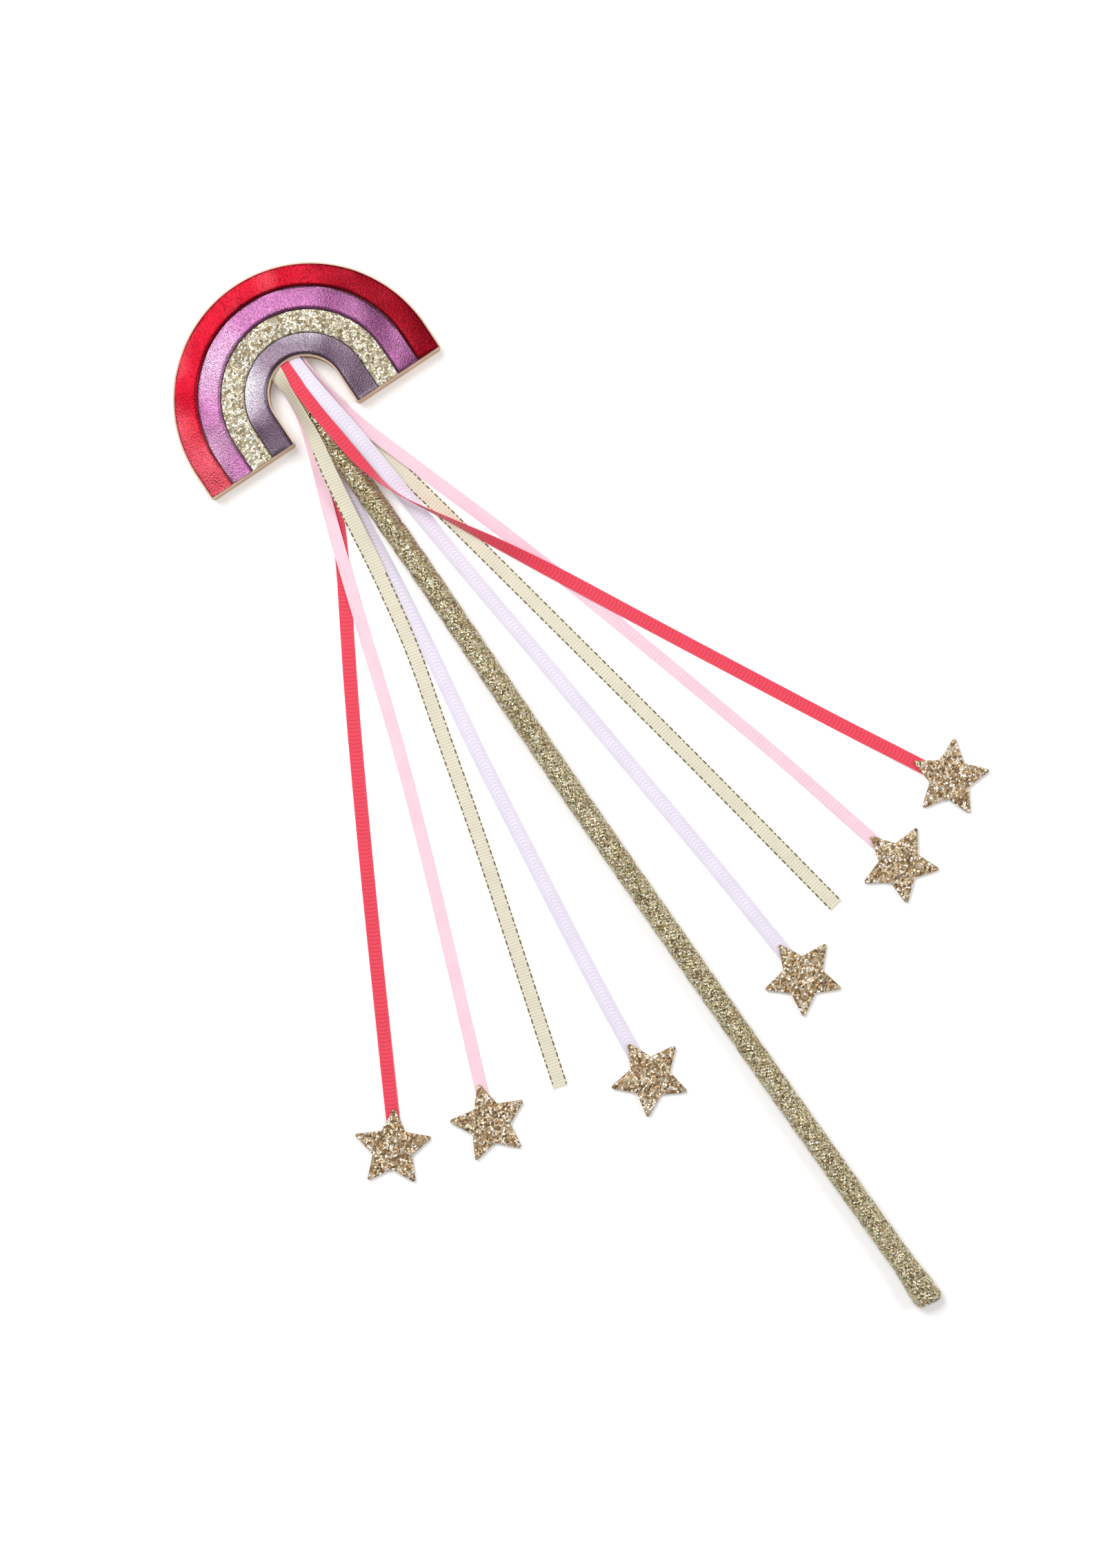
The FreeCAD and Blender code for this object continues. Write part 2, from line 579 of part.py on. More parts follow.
def star_layer(name, centre, turn, height):
    """One five-pointed layer: an arm repeated five times round the middle."""
    body = new_body(name)
    sketch = new_sketch(body, f"{name}_arm")
    radius = size("star_radius")
    inner = size("star_inner")
    tip = size("star_round")
    shoulder = Vector(inner * math.sin(math.pi / 5), inner * math.cos(math.pi / 5), 0)
    hub = Vector(0, radius - tip, 0)
    away = shoulder - hub
    lean = math.atan2(away.x, -away.y) + math.asin(tip / away.Length)
    touch = hub + Vector(math.cos(lean), math.sin(lean), 0) * tip
    mirror = Vector(-touch.x, touch.y, 0)
    far_shoulder = Vector(-shoulder.x, shoulder.y, 0)
    circle = Part.Circle(hub, Vector(0, 0, 1), tip)
    sketch.addGeometry(Part.LineSegment(Vector(0, 0, 0), shoulder), False)
    sketch.addGeometry(Part.LineSegment(shoulder, touch), False)
    sketch.addGeometry(Part.ArcOfCircle(circle, lean, math.pi - lean), False)
    sketch.addGeometry(Part.LineSegment(mirror, far_shoulder), False)
    sketch.addGeometry(Part.LineSegment(far_shoulder, Vector(0, 0, 0)), False)
    sketch.addConstraint(Sketcher.Constraint("Coincident", 0, 1, *SKETCH_ORIGIN))
    sketch.addConstraint(Sketcher.Constraint("Coincident", 4, 2, *SKETCH_ORIGIN))
    sketch.addConstraint(Sketcher.Constraint("Coincident", 0, 2, 1, 1))
    sketch.addConstraint(Sketcher.Constraint("Coincident", 3, 2, 4, 1))
    sketch.addConstraint(Sketcher.Constraint("Tangent", 1, 2, 2, 1))
    sketch.addConstraint(Sketcher.Constraint("Tangent", 2, 2, 3, 1))
    sketch.addConstraint(Sketcher.Constraint("PointOnObject", 2, 3, -2))
    sketch.addConstraint(Sketcher.Constraint("Symmetric", 0, 2, 3, 2, -2))
    named = [
        ("tip_round", Sketcher.Constraint("Radius", 2, tip), "Sizes.star_round"),
        ("tip_hub", Sketcher.Constraint("DistanceY", *SKETCH_ORIGIN, 2, 3, hub.y),
         "Sizes.star_radius - Sizes.star_round"),
        ("shoulder_x", Sketcher.Constraint("DistanceX", *SKETCH_ORIGIN, 0, 2, shoulder.x),
         "Sizes.star_inner * sin(36)"),
        ("shoulder_y", Sketcher.Constraint("DistanceY", *SKETCH_ORIGIN, 0, 2, shoulder.y),
         "Sizes.star_inner * cos(36)"),
    ]
    for label, constraint, expression in named:
        bind(sketch, label, sketch.addConstraint(constraint), expression)
    arm = pad(body, sketch, "Sizes.star_thick")
    doc.recompute()
    around = body.newObject("PartDesign::PolarPattern", f"{name}_arms")
    around.Originals = [arm]
    around.Axis = (sketch, ["N_Axis"])
    around.Angle = 360
    around.Occurrences = 5
    body.Tip = around
    body.Placement = Placement(Vector(*centre, height), Rotation(Vector(0, 0, 1), -turn))
    return body


def star(name, width):
    """Front and back layers with the ribbon's tab in a slot of the back one."""
    x, y, turn = STARS[name]
    thick = size("star_thick")
    front = star_layer(f"star_{name}_front", (x, y), turn, thick)
    blank = star_layer(f"star_{name}_blank", (x, y), turn, 0)
    end, way = ribbon_axis_end(ROUTES[name], 0)
    slot = doc.addObject("Part::Box", f"{name}_slot")
    slot.setExpression("Width", "Sizes.tab_length + 2 * Sizes.tab_gap")
    slot.Length = width
    slot.setExpression("Height", "Sizes.ribbon_thick * 2")
    turned = Rotation(Vector(0, 1, 0), way * -1)
    floor = thick - size("ribbon_thick")
    corner = Vector(end.x, end.y, floor) + turned.multVec(Vector(-width / 2, 0, 0))
    slot.Placement = Placement(corner, turned)
    back = doc.addObject("Part::Cut", f"star_{name}_back")
    back.Base = blank
    back.Tool = slot
    back.Label = f"star_{name}_back"
    return [front, back]


# ---------------------------------------------------------------- build, test, write

def build():
    """Make every sub-part and return those that are written."""
    nodes = [stick_core(), stick_wrap(), wrap_end_fold()]
    nodes += head_layers()
    ribbons = []
    for name, route in ROUTES.items():
        width = size(f"{name.split('_')[0]}_width")
        made, length = ribbon(name, width, route)
        ribbons.append((made, width * size("ribbon_thick") * length))
        nodes += made
        if name in STARS:
            nodes += star(name, width)
    doc.recompute()
    for made, expected in ribbons:
        volume = sum(node.Shape.Volume for node in made)
        print(f"{made[0].Label}: volume {volume:.1f} against section times length {expected:.1f}")
    return nodes


def test(nodes):
    """Stop before anything is written if an object failed."""
    for item in doc.Objects:
        if "Invalid" in item.State or "Error" in item.State:
            raise RuntimeError(f"{item.Name} failed: {item.State}")
    for node in nodes:
        shape = node.Shape
        if shape.isNull() or not shape.isValid() or len(shape.Solids) != 1:
            raise RuntimeError(f"{node.Label} isn't one valid solid")


def write(nodes):
    """One STEP file for each sub-part."""
    for node in nodes:
        node.Shape.exportStep(f"parts/{node.Label}.step")
    print(f"{len(nodes)} sub-parts written")


made_nodes = build()
test(made_nodes)
write(made_nodes)
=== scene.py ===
import math

import bmesh
import bpy
from bpy.props import FloatProperty, FloatVectorProperty, IntProperty, PointerProperty
from mathutils import Matrix, Vector, noise


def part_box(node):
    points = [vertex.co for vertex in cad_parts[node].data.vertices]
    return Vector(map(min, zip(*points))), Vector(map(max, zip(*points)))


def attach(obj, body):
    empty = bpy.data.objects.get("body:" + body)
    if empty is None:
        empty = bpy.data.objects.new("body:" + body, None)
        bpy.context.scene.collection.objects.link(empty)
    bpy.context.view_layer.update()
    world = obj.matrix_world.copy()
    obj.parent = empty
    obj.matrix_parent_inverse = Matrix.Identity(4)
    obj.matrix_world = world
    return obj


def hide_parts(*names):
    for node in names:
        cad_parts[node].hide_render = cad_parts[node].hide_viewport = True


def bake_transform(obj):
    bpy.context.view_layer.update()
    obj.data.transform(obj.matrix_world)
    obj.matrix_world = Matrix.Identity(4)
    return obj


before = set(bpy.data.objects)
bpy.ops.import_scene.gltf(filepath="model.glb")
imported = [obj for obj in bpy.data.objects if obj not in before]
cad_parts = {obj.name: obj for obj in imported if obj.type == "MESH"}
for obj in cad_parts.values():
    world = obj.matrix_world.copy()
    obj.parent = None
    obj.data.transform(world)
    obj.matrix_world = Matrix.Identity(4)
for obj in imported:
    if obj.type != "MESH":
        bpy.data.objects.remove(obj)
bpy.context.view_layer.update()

bl_info = {
    "name": "Rainbow Ribbon Wand",
    "version": (1, 0, 0),
    "blender": (4, 5, 0),
    "location": "View3D > Sidebar > Wand",
    "description": "Builds the padded rainbow, wrapped stick, ribbon tails and glitter stars of a child's wand",
    "category": "Object",
}

MM = 0.001
HEAD_CENTRE = Vector((0.0, 145.5 * MM, 0.0))
HEAD_TURN = math.radians(-1.1)
TAB_LENGTH = 7 * MM

# Middle line of each ribbon from its glued end to its cut end, in metres.
ROUTES = {
    "red_left": [
        (-0.0029, 0.166, 0.0012), (-0.003, 0.156, 0.0012), (-0.0042, 0.145, 0.00055),
        (-0.007, 0.133, 0.00015), (-0.0124, 0.115, 0.00015), (-0.0203, 0.1, 0.00015),
        (-0.031, 0.0825, 0.00015), (-0.043, 0.0625, 0.00015), (-0.0559, 0.04, 0.00015),
        (-0.0728, 0.01, 0.00015), (-0.0895, -0.0203, 0.00015), (-0.0997, -0.0389, 0.00085),
        (-0.1059, -0.0503, 0.00085),
    ],
    "pink_left": [
        (-0.0029, 0.166, 0.0019), (-0.003, 0.156, 0.0019), (-0.0044, 0.1445, 0.00175),
        (-0.008, 0.133, 0.0019), (-0.015, 0.115, 0.0016), (-0.0202, 0.1, 0.0012),
        (-0.0268, 0.08, 0.0006), (-0.0364, 0.05, 0.00015), (-0.0473, 0.02, 0.00015),
        (-0.059, -0.01, 0.00015), (-0.066, -0.0276, 0.00015), (-0.0735, -0.0462, 0.00085),
        (-0.0783, -0.0583, 0.00085),
    ],
    "cream_left": [
        (-0.004, 0.166, 0.0071), (-0.004, 0.156, 0.00715), (-0.0044, 0.147, 0.0076),
        (-0.0054, 0.137, 0.0084), (-0.0082, 0.124, 0.0066), (-0.0105, 0.109, 0.0032),
        (-0.0129, 0.092, 0.0009), (-0.0178, 0.066, 0.0005), (-0.0242, 0.044, 0.00015),
        (-0.0332, 0.0105, 0.00015), (-0.0423, -0.02, 0.00015), (-0.0508, -0.048, 0.00015),
        (-0.0571, -0.069, 0.00015),
    ],
    "lilac_left": [
        (-0.0029, 0.166, 0.00155), (-0.003, 0.156, 0.00155), (-0.0042, 0.144, 0.00105),
        (-0.0057, 0.132, 0.00075), (-0.0072, 0.118, 0.0005), (-0.0086, 0.104, 0.00015),
        (-0.0106, 0.086, 0.00015), (-0.0143, 0.06, 0.00015), (-0.0196, 0.0295, 0.00015),
        (-0.0243, -0.005, 0.00015), (-0.029, -0.039, 0.00015), (-0.0317, -0.0623, 0.00085),
        (-0.033, -0.0752, 0.00085),
    ],
    "lilac_right": [
        (0.0022, 0.166, 0.0071), (0.0022, 0.156, 0.0071), (0.0033, 0.144, 0.0073),
        (0.005, 0.131, 0.0063), (0.0063, 0.115, 0.0028), (0.0075, 0.099, 0.0006),
        (0.0094, 0.075, 0.00015), (0.0126, 0.042, 0.00015), (0.0156, 0.007, 0.00015),
        (0.0183, -0.0225, 0.00015), (0.0202, -0.0445, 0.00015), (0.0215, -0.0635, 0.00085),
        (0.0225, -0.0765, 0.00085),
    ],
    "cream_right": [
        (0.0026, 0.166, 0.003), (0.0026, 0.156, 0.003), (0.0032, 0.145, 0.0025),
        (0.0056, 0.134, 0.0016), (0.0095, 0.117, 0.0008), (0.0128, 0.1, 0.0003),
        (0.0162, 0.082, 0.00015), (0.0202, 0.06, 0.00015), (0.0265, 0.0255, 0.00015),
        (0.0326, -0.008, 0.00015), (0.0384, -0.042, 0.00015), (0.0434, -0.0715, 0.00015),
    ],
    "pink_right": [
        (0.004, 0.166, 0.005), (0.0041, 0.156, 0.005), (0.0052, 0.145, 0.0044),
        (0.008, 0.1315, 0.0032), (0.0134, 0.1155, 0.0014), (0.0189, 0.099, 0.0005),
        (0.0255, 0.0795, 0.00015), (0.0329, 0.055, 0.00015), (0.04, 0.03, 0.00015),
        (0.0483, 0.0, 0.00015), (0.0544, -0.0222, 0.00015), (0.0587, -0.0398, 0.0002),
        (0.062, -0.0533, 0.00085), (0.0651, -0.0659, 0.00085),
    ],
    "red_right": [
        (-0.001, 0.166, 0.0075), (-0.001, 0.156, 0.0075), (-0.0007, 0.145, 0.0081),
        (0.0003, 0.133, 0.0088), (0.0017, 0.12, 0.0081), (0.0049, 0.1075, 0.0057),
        (0.0112, 0.0965, 0.004), (0.0206, 0.08, 0.0027), (0.0313, 0.06, 0.0012),
        (0.0414, 0.04, 0.0005), (0.0542, 0.015, 0.00015), (0.0671, -0.01, 0.00015),
        (0.0766, -0.0283, 0.0002), (0.0842, -0.0424, 0.00085), (0.0903, -0.0539, 0.00085),
    ],
}

# Centre of each star and the turn of its upper tip, degrees clockwise from +Y.
STARS = {
    "red_left": (-0.1096, -0.0549, 37.0),
    "pink_left": (-0.0809, -0.0654, 19.0),
    "lilac_left": (-0.0330, -0.0818, 2.0),
    "lilac_right": (0.0227, -0.0833, -2.0),
    "pink_right": (0.0664, -0.0719, -11.5),
    "red_right": (0.0939, -0.0593, -30.5),
}

# Roll of a ribbon about its own line: (distance along Y, degrees). Between the points it eases.
ROLLS = {
    "red_right": [
        (0.1575, 0), (0.150, -18), (0.142, -26), (0.133, -27), (0.126, -32), (0.120, -46), (0.115, -64), (0.110, -81),
        (0.103, -90), (0.096, -98),
        (0.088, -112), (0.080, -129), (0.070, -147), (0.060, -168), (0.048, -180),
    ],
    "pink_right": [(0.158, 40), (0.146, 34), (0.134, 8), (0.128, 0)],
    "cream_left": [(0.160, 10), (0.152, 56), (0.142, 54), (0.132, 24), (0.122, 0)],
}

RIBBON_WIDTH = {"red": 0.00415, "cream": 0.0046, "lilac": 0.0047, "pink": 0.0038}
RIBBON_THICK = 0.0003


# ---------------------------------------------------------------- properties

def colour_property(label, default, description):
    return FloatVectorProperty(name=label, description=description, default=default, size=3,
                               min=0.0, max=1.0, subtype="COLOR")


class WandColours(bpy.types.PropertyGroup):
    """Colours that a user would change."""

    crimson: colour_property("Crimson", (0.26, 0.0015, 0.010), "Outer metallic band")
    orchid: colour_property("Orchid", (0.215, 0.062, 0.165), "Second metallic band")
    plum: colour_property("Plum", (0.085, 0.05, 0.08), "Inner metallic band")
    tan: colour_property("Tan", (0.80, 0.57, 0.41), "Panels behind the bands")
    red_ribbon: colour_property("Red ribbon", (0.87, 0.055, 0.10), "Grosgrain tails")
    pink_ribbon: colour_property("Pink ribbon", (0.905, 0.605, 0.70), "Satin tails")
    cream_ribbon: colour_property("Cream ribbon", (0.785, 0.73, 0.575), "Stitched tails")
    lilac_ribbon: colour_property("Lilac ribbon", (0.825, 0.765, 0.89), "Pale grosgrain tails")


class WandSizes(bpy.types.PropertyGroup):
    """Sizes that a user would change."""

    band_crown: FloatProperty(
        name="Band crown", description="How far a band's middle stands above its edges",
        default=0.00018, min=0.0, unit="LENGTH")
    band_swell: FloatProperty(
        name="Band swell", description="Height of the soft unevenness of the padded bands",
        default=0.0005, min=0.0, unit="LENGTH")
    wrap_pitch: FloatProperty(
        name="Wrap pitch", description="Distance along the stick between two turns of the glitter strip",
        default=0.0092, min=0.004, unit="LENGTH")
    wrap_step: FloatProperty(
        name="Wrap step", description="Height of a turn's overlapping edge",
        default=0.0002, min=0.0, unit="LENGTH")
    glitter: FloatProperty(
        name="Glitter flake", description="Size of the flakes on the band, the stick and the stars",
        default=0.00075, min=0.0002, unit="LENGTH")
    rib: FloatProperty(
        name="Rib pitch", description="Distance between two cross ribs of a grosgrain ribbon",
        default=0.0012, min=0.0003, unit="LENGTH")
    star_radius: FloatProperty(
        name="Star radius", description="Star centre to tip",
        default=0.012, min=0.005, unit="LENGTH")
    star_inner: FloatProperty(
        name="Star inner radius", description="Star centre to inner corner",
        default=0.00625, min=0.002, unit="LENGTH")
    around: IntProperty(
        name="Segments", description="Faces round the stick", default=64, min=16, max=128)


# ---------------------------------------------------------------- material helpers

def new_material(name, roughness, metallic=0.0):
    """A material with its shader and an empty sheet of nodes."""
    material = bpy.data.materials.new(name)
    material.use_nodes = True
    tree = material.node_tree
    shader = tree.nodes["Principled BSDF"]
    shader.inputs["Roughness"].default_value = roughness
    shader.inputs["Metallic"].default_value = metallic
    return material, tree, shader


def add(tree, kind, settings=None, **inputs):
    """A node with its settings and its inputs set or linked."""
    node = tree.nodes.new(kind)
    for key, value in (settings or {}).items():
        setattr(node, key, value)
    for key, value in inputs.items():
        socket = node.inputs[int(key[1:])] if key[0] == "i" and key[1:].isdigit() else node.inputs[key]
        if isinstance(value, bpy.types.NodeSocket):
            tree.links.new(value, socket)
        else:
            socket.default_value = value
    return node


def maths(tree, operation, first, second=0.0):
    """One arithmetic node's result."""
    return add(tree, "ShaderNodeMath", {"operation": operation}, i0=first, i1=second).outputs[0]


def colour_ramp(tree, factor, stops, interpolation="LINEAR"):
    """A colour ramp through (place, colour) stops."""
    node = add(tree, "ShaderNodeValToRGB", i0=factor)
    ramp = node.color_ramp
    ramp.interpolation = interpolation
    while len(ramp.elements) < len(stops):
        ramp.elements.new(0.5)
    for element, (place, colour) in zip(ramp.elements, stops):
        element.position = place
        element.color = (*colour, 1.0)
    return node.outputs["Color"]


def mix_colour(tree, factor, first, second):
    """Mixes two colours, each a socket or three numbers."""
    node = tree.nodes.new("ShaderNodeMix")
    node.data_type = "RGBA"
    for socket, value in ((node.inputs[0], factor), (node.inputs[6], first), (node.inputs[7], second)):
        if isinstance(value, bpy.types.NodeSocket):
            tree.links.new(value, socket)
        elif isinstance(value, float):
            socket.default_value = value
        else:
            socket.default_value = (*value, 1.0)
    return node.outputs[2]


def shade(colour, amount):
    """A colour made darker or lighter."""
    return tuple(min(1.0, part * amount) for part in colour)


def bump(tree, height, strength, distance):
    """The normal of a bump."""
    return add(tree, "ShaderNodeBump", Height=height, Strength=strength, Distance=distance).outputs[0]


# ---------------------------------------------------------------- materials

def leatherette(name, colour, roughness=0.27, metallic=0.85, grain=0.00034, coat=0.06,
                painted_highlight=None, turn=0.0, slope=(-4.0, 0.0, 0.0)):
    """Metallic embossed leatherette: fine pebbles with painted shade in the grooves between them, soft tonal drift
    and, when a highlight colour is given, broad painted highlights and painted shade.

    The highlight colour is the colour of the painted highlight patches, and other patches darken toward painted
    shade. turn picks another spread of these patches, and slope leans them, per metre from the middle of the rainbow,
    so that one side of the rainbow comes out lighter and the other darker.
    """
    material, tree, shader = new_material(name, roughness, metallic)
    place = add(tree, "ShaderNodeTexCoord").outputs["Object"]
    drift = add(tree, "ShaderNodeTexNoise", Vector=place, Scale=75.0, Detail=6.0, Roughness=0.62).outputs["Fac"]
    pebble = add(tree, "ShaderNodeTexVoronoi", {"feature": "F1"}, Vector=place,
                 Scale=1 / grain).outputs["Distance"]
    fine = add(tree, "ShaderNodeTexNoise", Vector=place, Scale=0.7 / grain, Detail=3.0).outputs["Fac"]
    tone = colour_ramp(tree, drift, [(0.32, shade(colour, 0.8)), (0.68, shade(colour, 1.2))])
    # Painted highlight and painted shade: broad patches are lightened toward the given highlight colour or darkened
    # toward a shaded copy of the colour, leaning lighter to one side of the rainbow.
    if painted_highlight:
        broad = add(tree, "ShaderNodeTexNoise", {"noise_dimensions": "4D"}, Vector=place, Scale=42.0,
                    Detail=1.5, W=turn).outputs["Fac"]
        off = add(tree, "ShaderNodeVectorMath", {"operation": "SUBTRACT"}, i0=place,
                  i1=(0.0, 0.1455, 0.0)).outputs[0]
        side = add(tree, "ShaderNodeVectorMath", {"operation": "DOT_PRODUCT"}, i0=off,
                   i1=slope).outputs["Value"]
        level = maths(tree, "ADD", broad, side)
        level = maths(tree, "ADD", level, maths(tree, "MULTIPLY", drift, 0.12))
        painted_highlight_mask = add(tree, "ShaderNodeMapRange", Value=level, i1=0.62, i2=0.86).outputs[0]
        painted_shade_mask = add(tree, "ShaderNodeMapRange", Value=level, i1=0.58, i2=0.34).outputs[0]
        tone = mix_colour(tree, maths(tree, "MULTIPLY", painted_highlight_mask, 0.85), tone, painted_highlight)
        tone = mix_colour(tree, maths(tree, "MULTIPLY", painted_shade_mask, 0.7), tone, shade(colour, 0.3))
    # Painted shade: the grooves between the pebbles are darkened toward a shaded copy of the colour.
    pebble_shaded = mix_colour(tree, maths(tree, "MULTIPLY", pebble, 0.3), tone, shade(colour, 0.45))
    tree.links.new(pebble_shaded, shader.inputs["Base Color"])
    rough = maths(tree, "ADD", maths(tree, "MULTIPLY", fine, 0.16), roughness - 0.08)
    tree.links.new(rough, shader.inputs["Roughness"])
    relief = maths(tree, "ADD", maths(tree, "MULTIPLY", pebble, -0.7), maths(tree, "MULTIPLY", fine, 0.6))
    tree.links.new(bump(tree, relief, 0.6, 0.00014), shader.inputs["Normal"])
    shader.inputs["Coat Weight"].default_value = coat
    shader.inputs["Coat Roughness"].default_value = 0.22
    return material


def glitter(name, flake, palette, gap, tilt=0.55, roughness=0.3, metallic=0.6, wound=None):
    """Coarse glitter: flakes that each lean their own way over a darker ground.

    wound, for the strip on the stick, is the pitch of its turns and of its woven rows.
    """
    material, tree, shader = new_material(name, roughness, metallic)
    place = add(tree, "ShaderNodeTexCoord").outputs["Object"]
    stir = add(tree, "ShaderNodeTexNoise", Vector=place, Scale=0.6 / flake, Detail=1.0).outputs["Color"]
    push = add(tree, "ShaderNodeVectorMath", {"operation": "SCALE"}, i0=stir, Scale=0.5 * flake).outputs[0]
    moved = add(tree, "ShaderNodeVectorMath", {"operation": "ADD"}, i0=place, i1=push).outputs[0]
    cells = add(tree, "ShaderNodeTexVoronoi", {"feature": "F1"}, Vector=moved, Scale=1 / flake)
    edges = add(tree, "ShaderNodeTexVoronoi", {"feature": "DISTANCE_TO_EDGE"}, Vector=moved,
                Scale=1 / flake).outputs["Distance"]
    parts = add(tree, "ShaderNodeSeparateColor", Color=cells.outputs["Color"])
    flakes = colour_ramp(tree, parts.outputs[0], palette, "CONSTANT")
    rim = add(tree, "ShaderNodeMapRange", Value=edges, i1=0.02, i2=0.11).outputs[0]
    surface = mix_colour(tree, rim, gap, flakes)
    height = rim
    if wound:
        surface, height = woven_rows(tree, surface, rim, *wound)
    tree.links.new(surface, shader.inputs["Base Color"])
    centred = add(tree, "ShaderNodeVectorMath", {"operation": "SUBTRACT"},
                  i0=cells.outputs["Color"], i1=(0.5, 0.5, 0.5)).outputs[0]
    lean = add(tree, "ShaderNodeVectorMath", {"operation": "SCALE"}, i0=centred, Scale=tilt).outputs[0]
    relief = bump(tree, height, 0.5, 0.00012)
    summed = add(tree, "ShaderNodeVectorMath", {"operation": "ADD"}, i0=relief, i1=lean).outputs[0]
    normal = add(tree, "ShaderNodeVectorMath", {"operation": "NORMALIZE"}, i0=summed).outputs[0]
    tree.links.new(normal, shader.inputs["Normal"])
    rough = maths(tree, "ADD", maths(tree, "MULTIPLY", parts.outputs[1], 0.35), roughness - 0.12)
    tree.links.new(rough, shader.inputs["Roughness"])
    return material


def woven_rows(tree, colour, height, pitch, row):
    """Rows of thread along the wound strip and the shadow in the seam between two turns."""
    place = add(tree, "ShaderNodeUVMap", {"uv_map": "strip"}).outputs["UV"]
    across = add(tree, "ShaderNodeSeparateXYZ", Vector=place).outputs["X"]
    rows = wave(tree, across, row)
    part = maths(tree, "FRACT", maths(tree, "DIVIDE", across, pitch))
    seam = add(tree, "ShaderNodeMapRange", i0=maths(tree, "ABSOLUTE", maths(tree, "SUBTRACT", part, 0.92)),
               i1=0.0, i2=0.055, i3=1.0, i4=0.0).outputs[0]
    ridged = mix_colour(tree, maths(tree, "MULTIPLY", maths(tree, "SUBTRACT", 1.0, rows), 0.28),
                        colour, (0.16, 0.12, 0.06))
    seamed = mix_colour(tree, maths(tree, "MULTIPLY", seam, 0.5), ridged, (0.10, 0.07, 0.035))
    return seamed, maths(tree, "ADD", height, maths(tree, "MULTIPLY", rows, 1.6))


PALE_GOLD = [
    (0.0, (0.28, 0.216, 0.124)), (0.16, (0.464, 0.4, 0.263)), (0.34, (0.64, 0.592, 0.449)),
    (0.62, (0.72, 0.688, 0.573)), (0.82, (0.776, 0.759, 0.697)), (0.93, (0.4, 0.32, 0.194)),
]
STICK_GOLD = [
    (0.0, (0.16, 0.115, 0.045)), (0.16, (0.46, 0.36, 0.17)), (0.34, (0.78, 0.67, 0.38)),
    (0.56, (0.98, 0.90, 0.61)), (0.76, (1.0, 0.99, 0.83)), (0.95, (0.60, 0.38, 0.21)),
]
ROSE_GOLD = [
    (0.0, (0.194, 0.123, 0.06)), (0.18, (0.405, 0.29, 0.153)), (0.38, (0.581, 0.466, 0.289)),
    (0.60, (0.722, 0.642, 0.476)), (0.78, (0.854, 0.836, 0.765)), (0.92, (0.44, 0.255, 0.119)),
]


def ribbon_place(tree):
    """Across and along a ribbon in metres, from its own map."""
    place = add(tree, "ShaderNodeUVMap", {"uv_map": "along"}).outputs["UV"]
    parts = add(tree, "ShaderNodeSeparateXYZ", Vector=place)
    return parts.outputs["X"], parts.outputs["Y"]


def wave(tree, along, pitch):
    """A smooth wave from 0 to 1 along a measure in metres."""
    turn = maths(tree, "SINE", maths(tree, "MULTIPLY", along, 2 * math.pi / pitch))
    return maths(tree, "ADD", maths(tree, "MULTIPLY", turn, 0.5), 0.5)


def grosgrain(name, colour, width, rib, depth=1.0, curve=0.0, selvedge=0.8, plain=0.72):
    """Cross-ribbed ribbon: ribs that can bow, darker woven edges and a fine lengthwise thread.

    The ribs end and the woven edge starts where the share of the half width passes plain.
    """
    material, tree, shader = new_material(name, 0.62)
    across, along = ribbon_place(tree)
    off = maths(tree, "ABSOLUTE", maths(tree, "SUBTRACT", across, width / 2))
    share = maths(tree, "DIVIDE", off, width / 2)
    bow = maths(tree, "MULTIPLY", maths(tree, "POWER", share, 2.0), curve * rib)
    ribs = wave(tree, maths(tree, "ADD", along, bow), rib)
    threads = wave(tree, across, 0.00022)
    place = add(tree, "ShaderNodeTexCoord").outputs["Object"]
    drift = add(tree, "ShaderNodeTexNoise", Vector=place, Scale=160.0, Detail=3.0).outputs["Fac"]
    edge = add(tree, "ShaderNodeMapRange", Value=share, i1=plain, i2=plain + 0.14).outputs[0]
    ribs = maths(tree, "MAXIMUM", ribs, edge)
    tone = colour_ramp(tree, drift, [(0.3, shade(colour, 0.96)), (0.7, shade(colour, 1.03))])
    # Painted shade: the valleys between the ribs are darkened toward a shaded copy of the ribbon colour.
    valley = mix_colour(tree, maths(tree, "MULTIPLY", maths(tree, "SUBTRACT", 1.0, ribs), 0.55 * depth),
                        tone, shade(colour, 0.55))
    woven = mix_colour(tree, maths(tree, "MULTIPLY", edge, 1 - selvedge), valley, shade(colour, 0.35))
    tree.links.new(woven, shader.inputs["Base Color"])
    relief = maths(tree, "ADD", maths(tree, "MULTIPLY", ribs, depth), maths(tree, "MULTIPLY", threads, 0.25))
    tree.links.new(bump(tree, relief, 0.55, 0.00010), shader.inputs["Normal"])
    shader.inputs["Sheen Weight"].default_value = 0.35
    shader.inputs["Sheen Roughness"].default_value = 0.4
    shader.inputs["Specular IOR Level"].default_value = 0.35
    return material


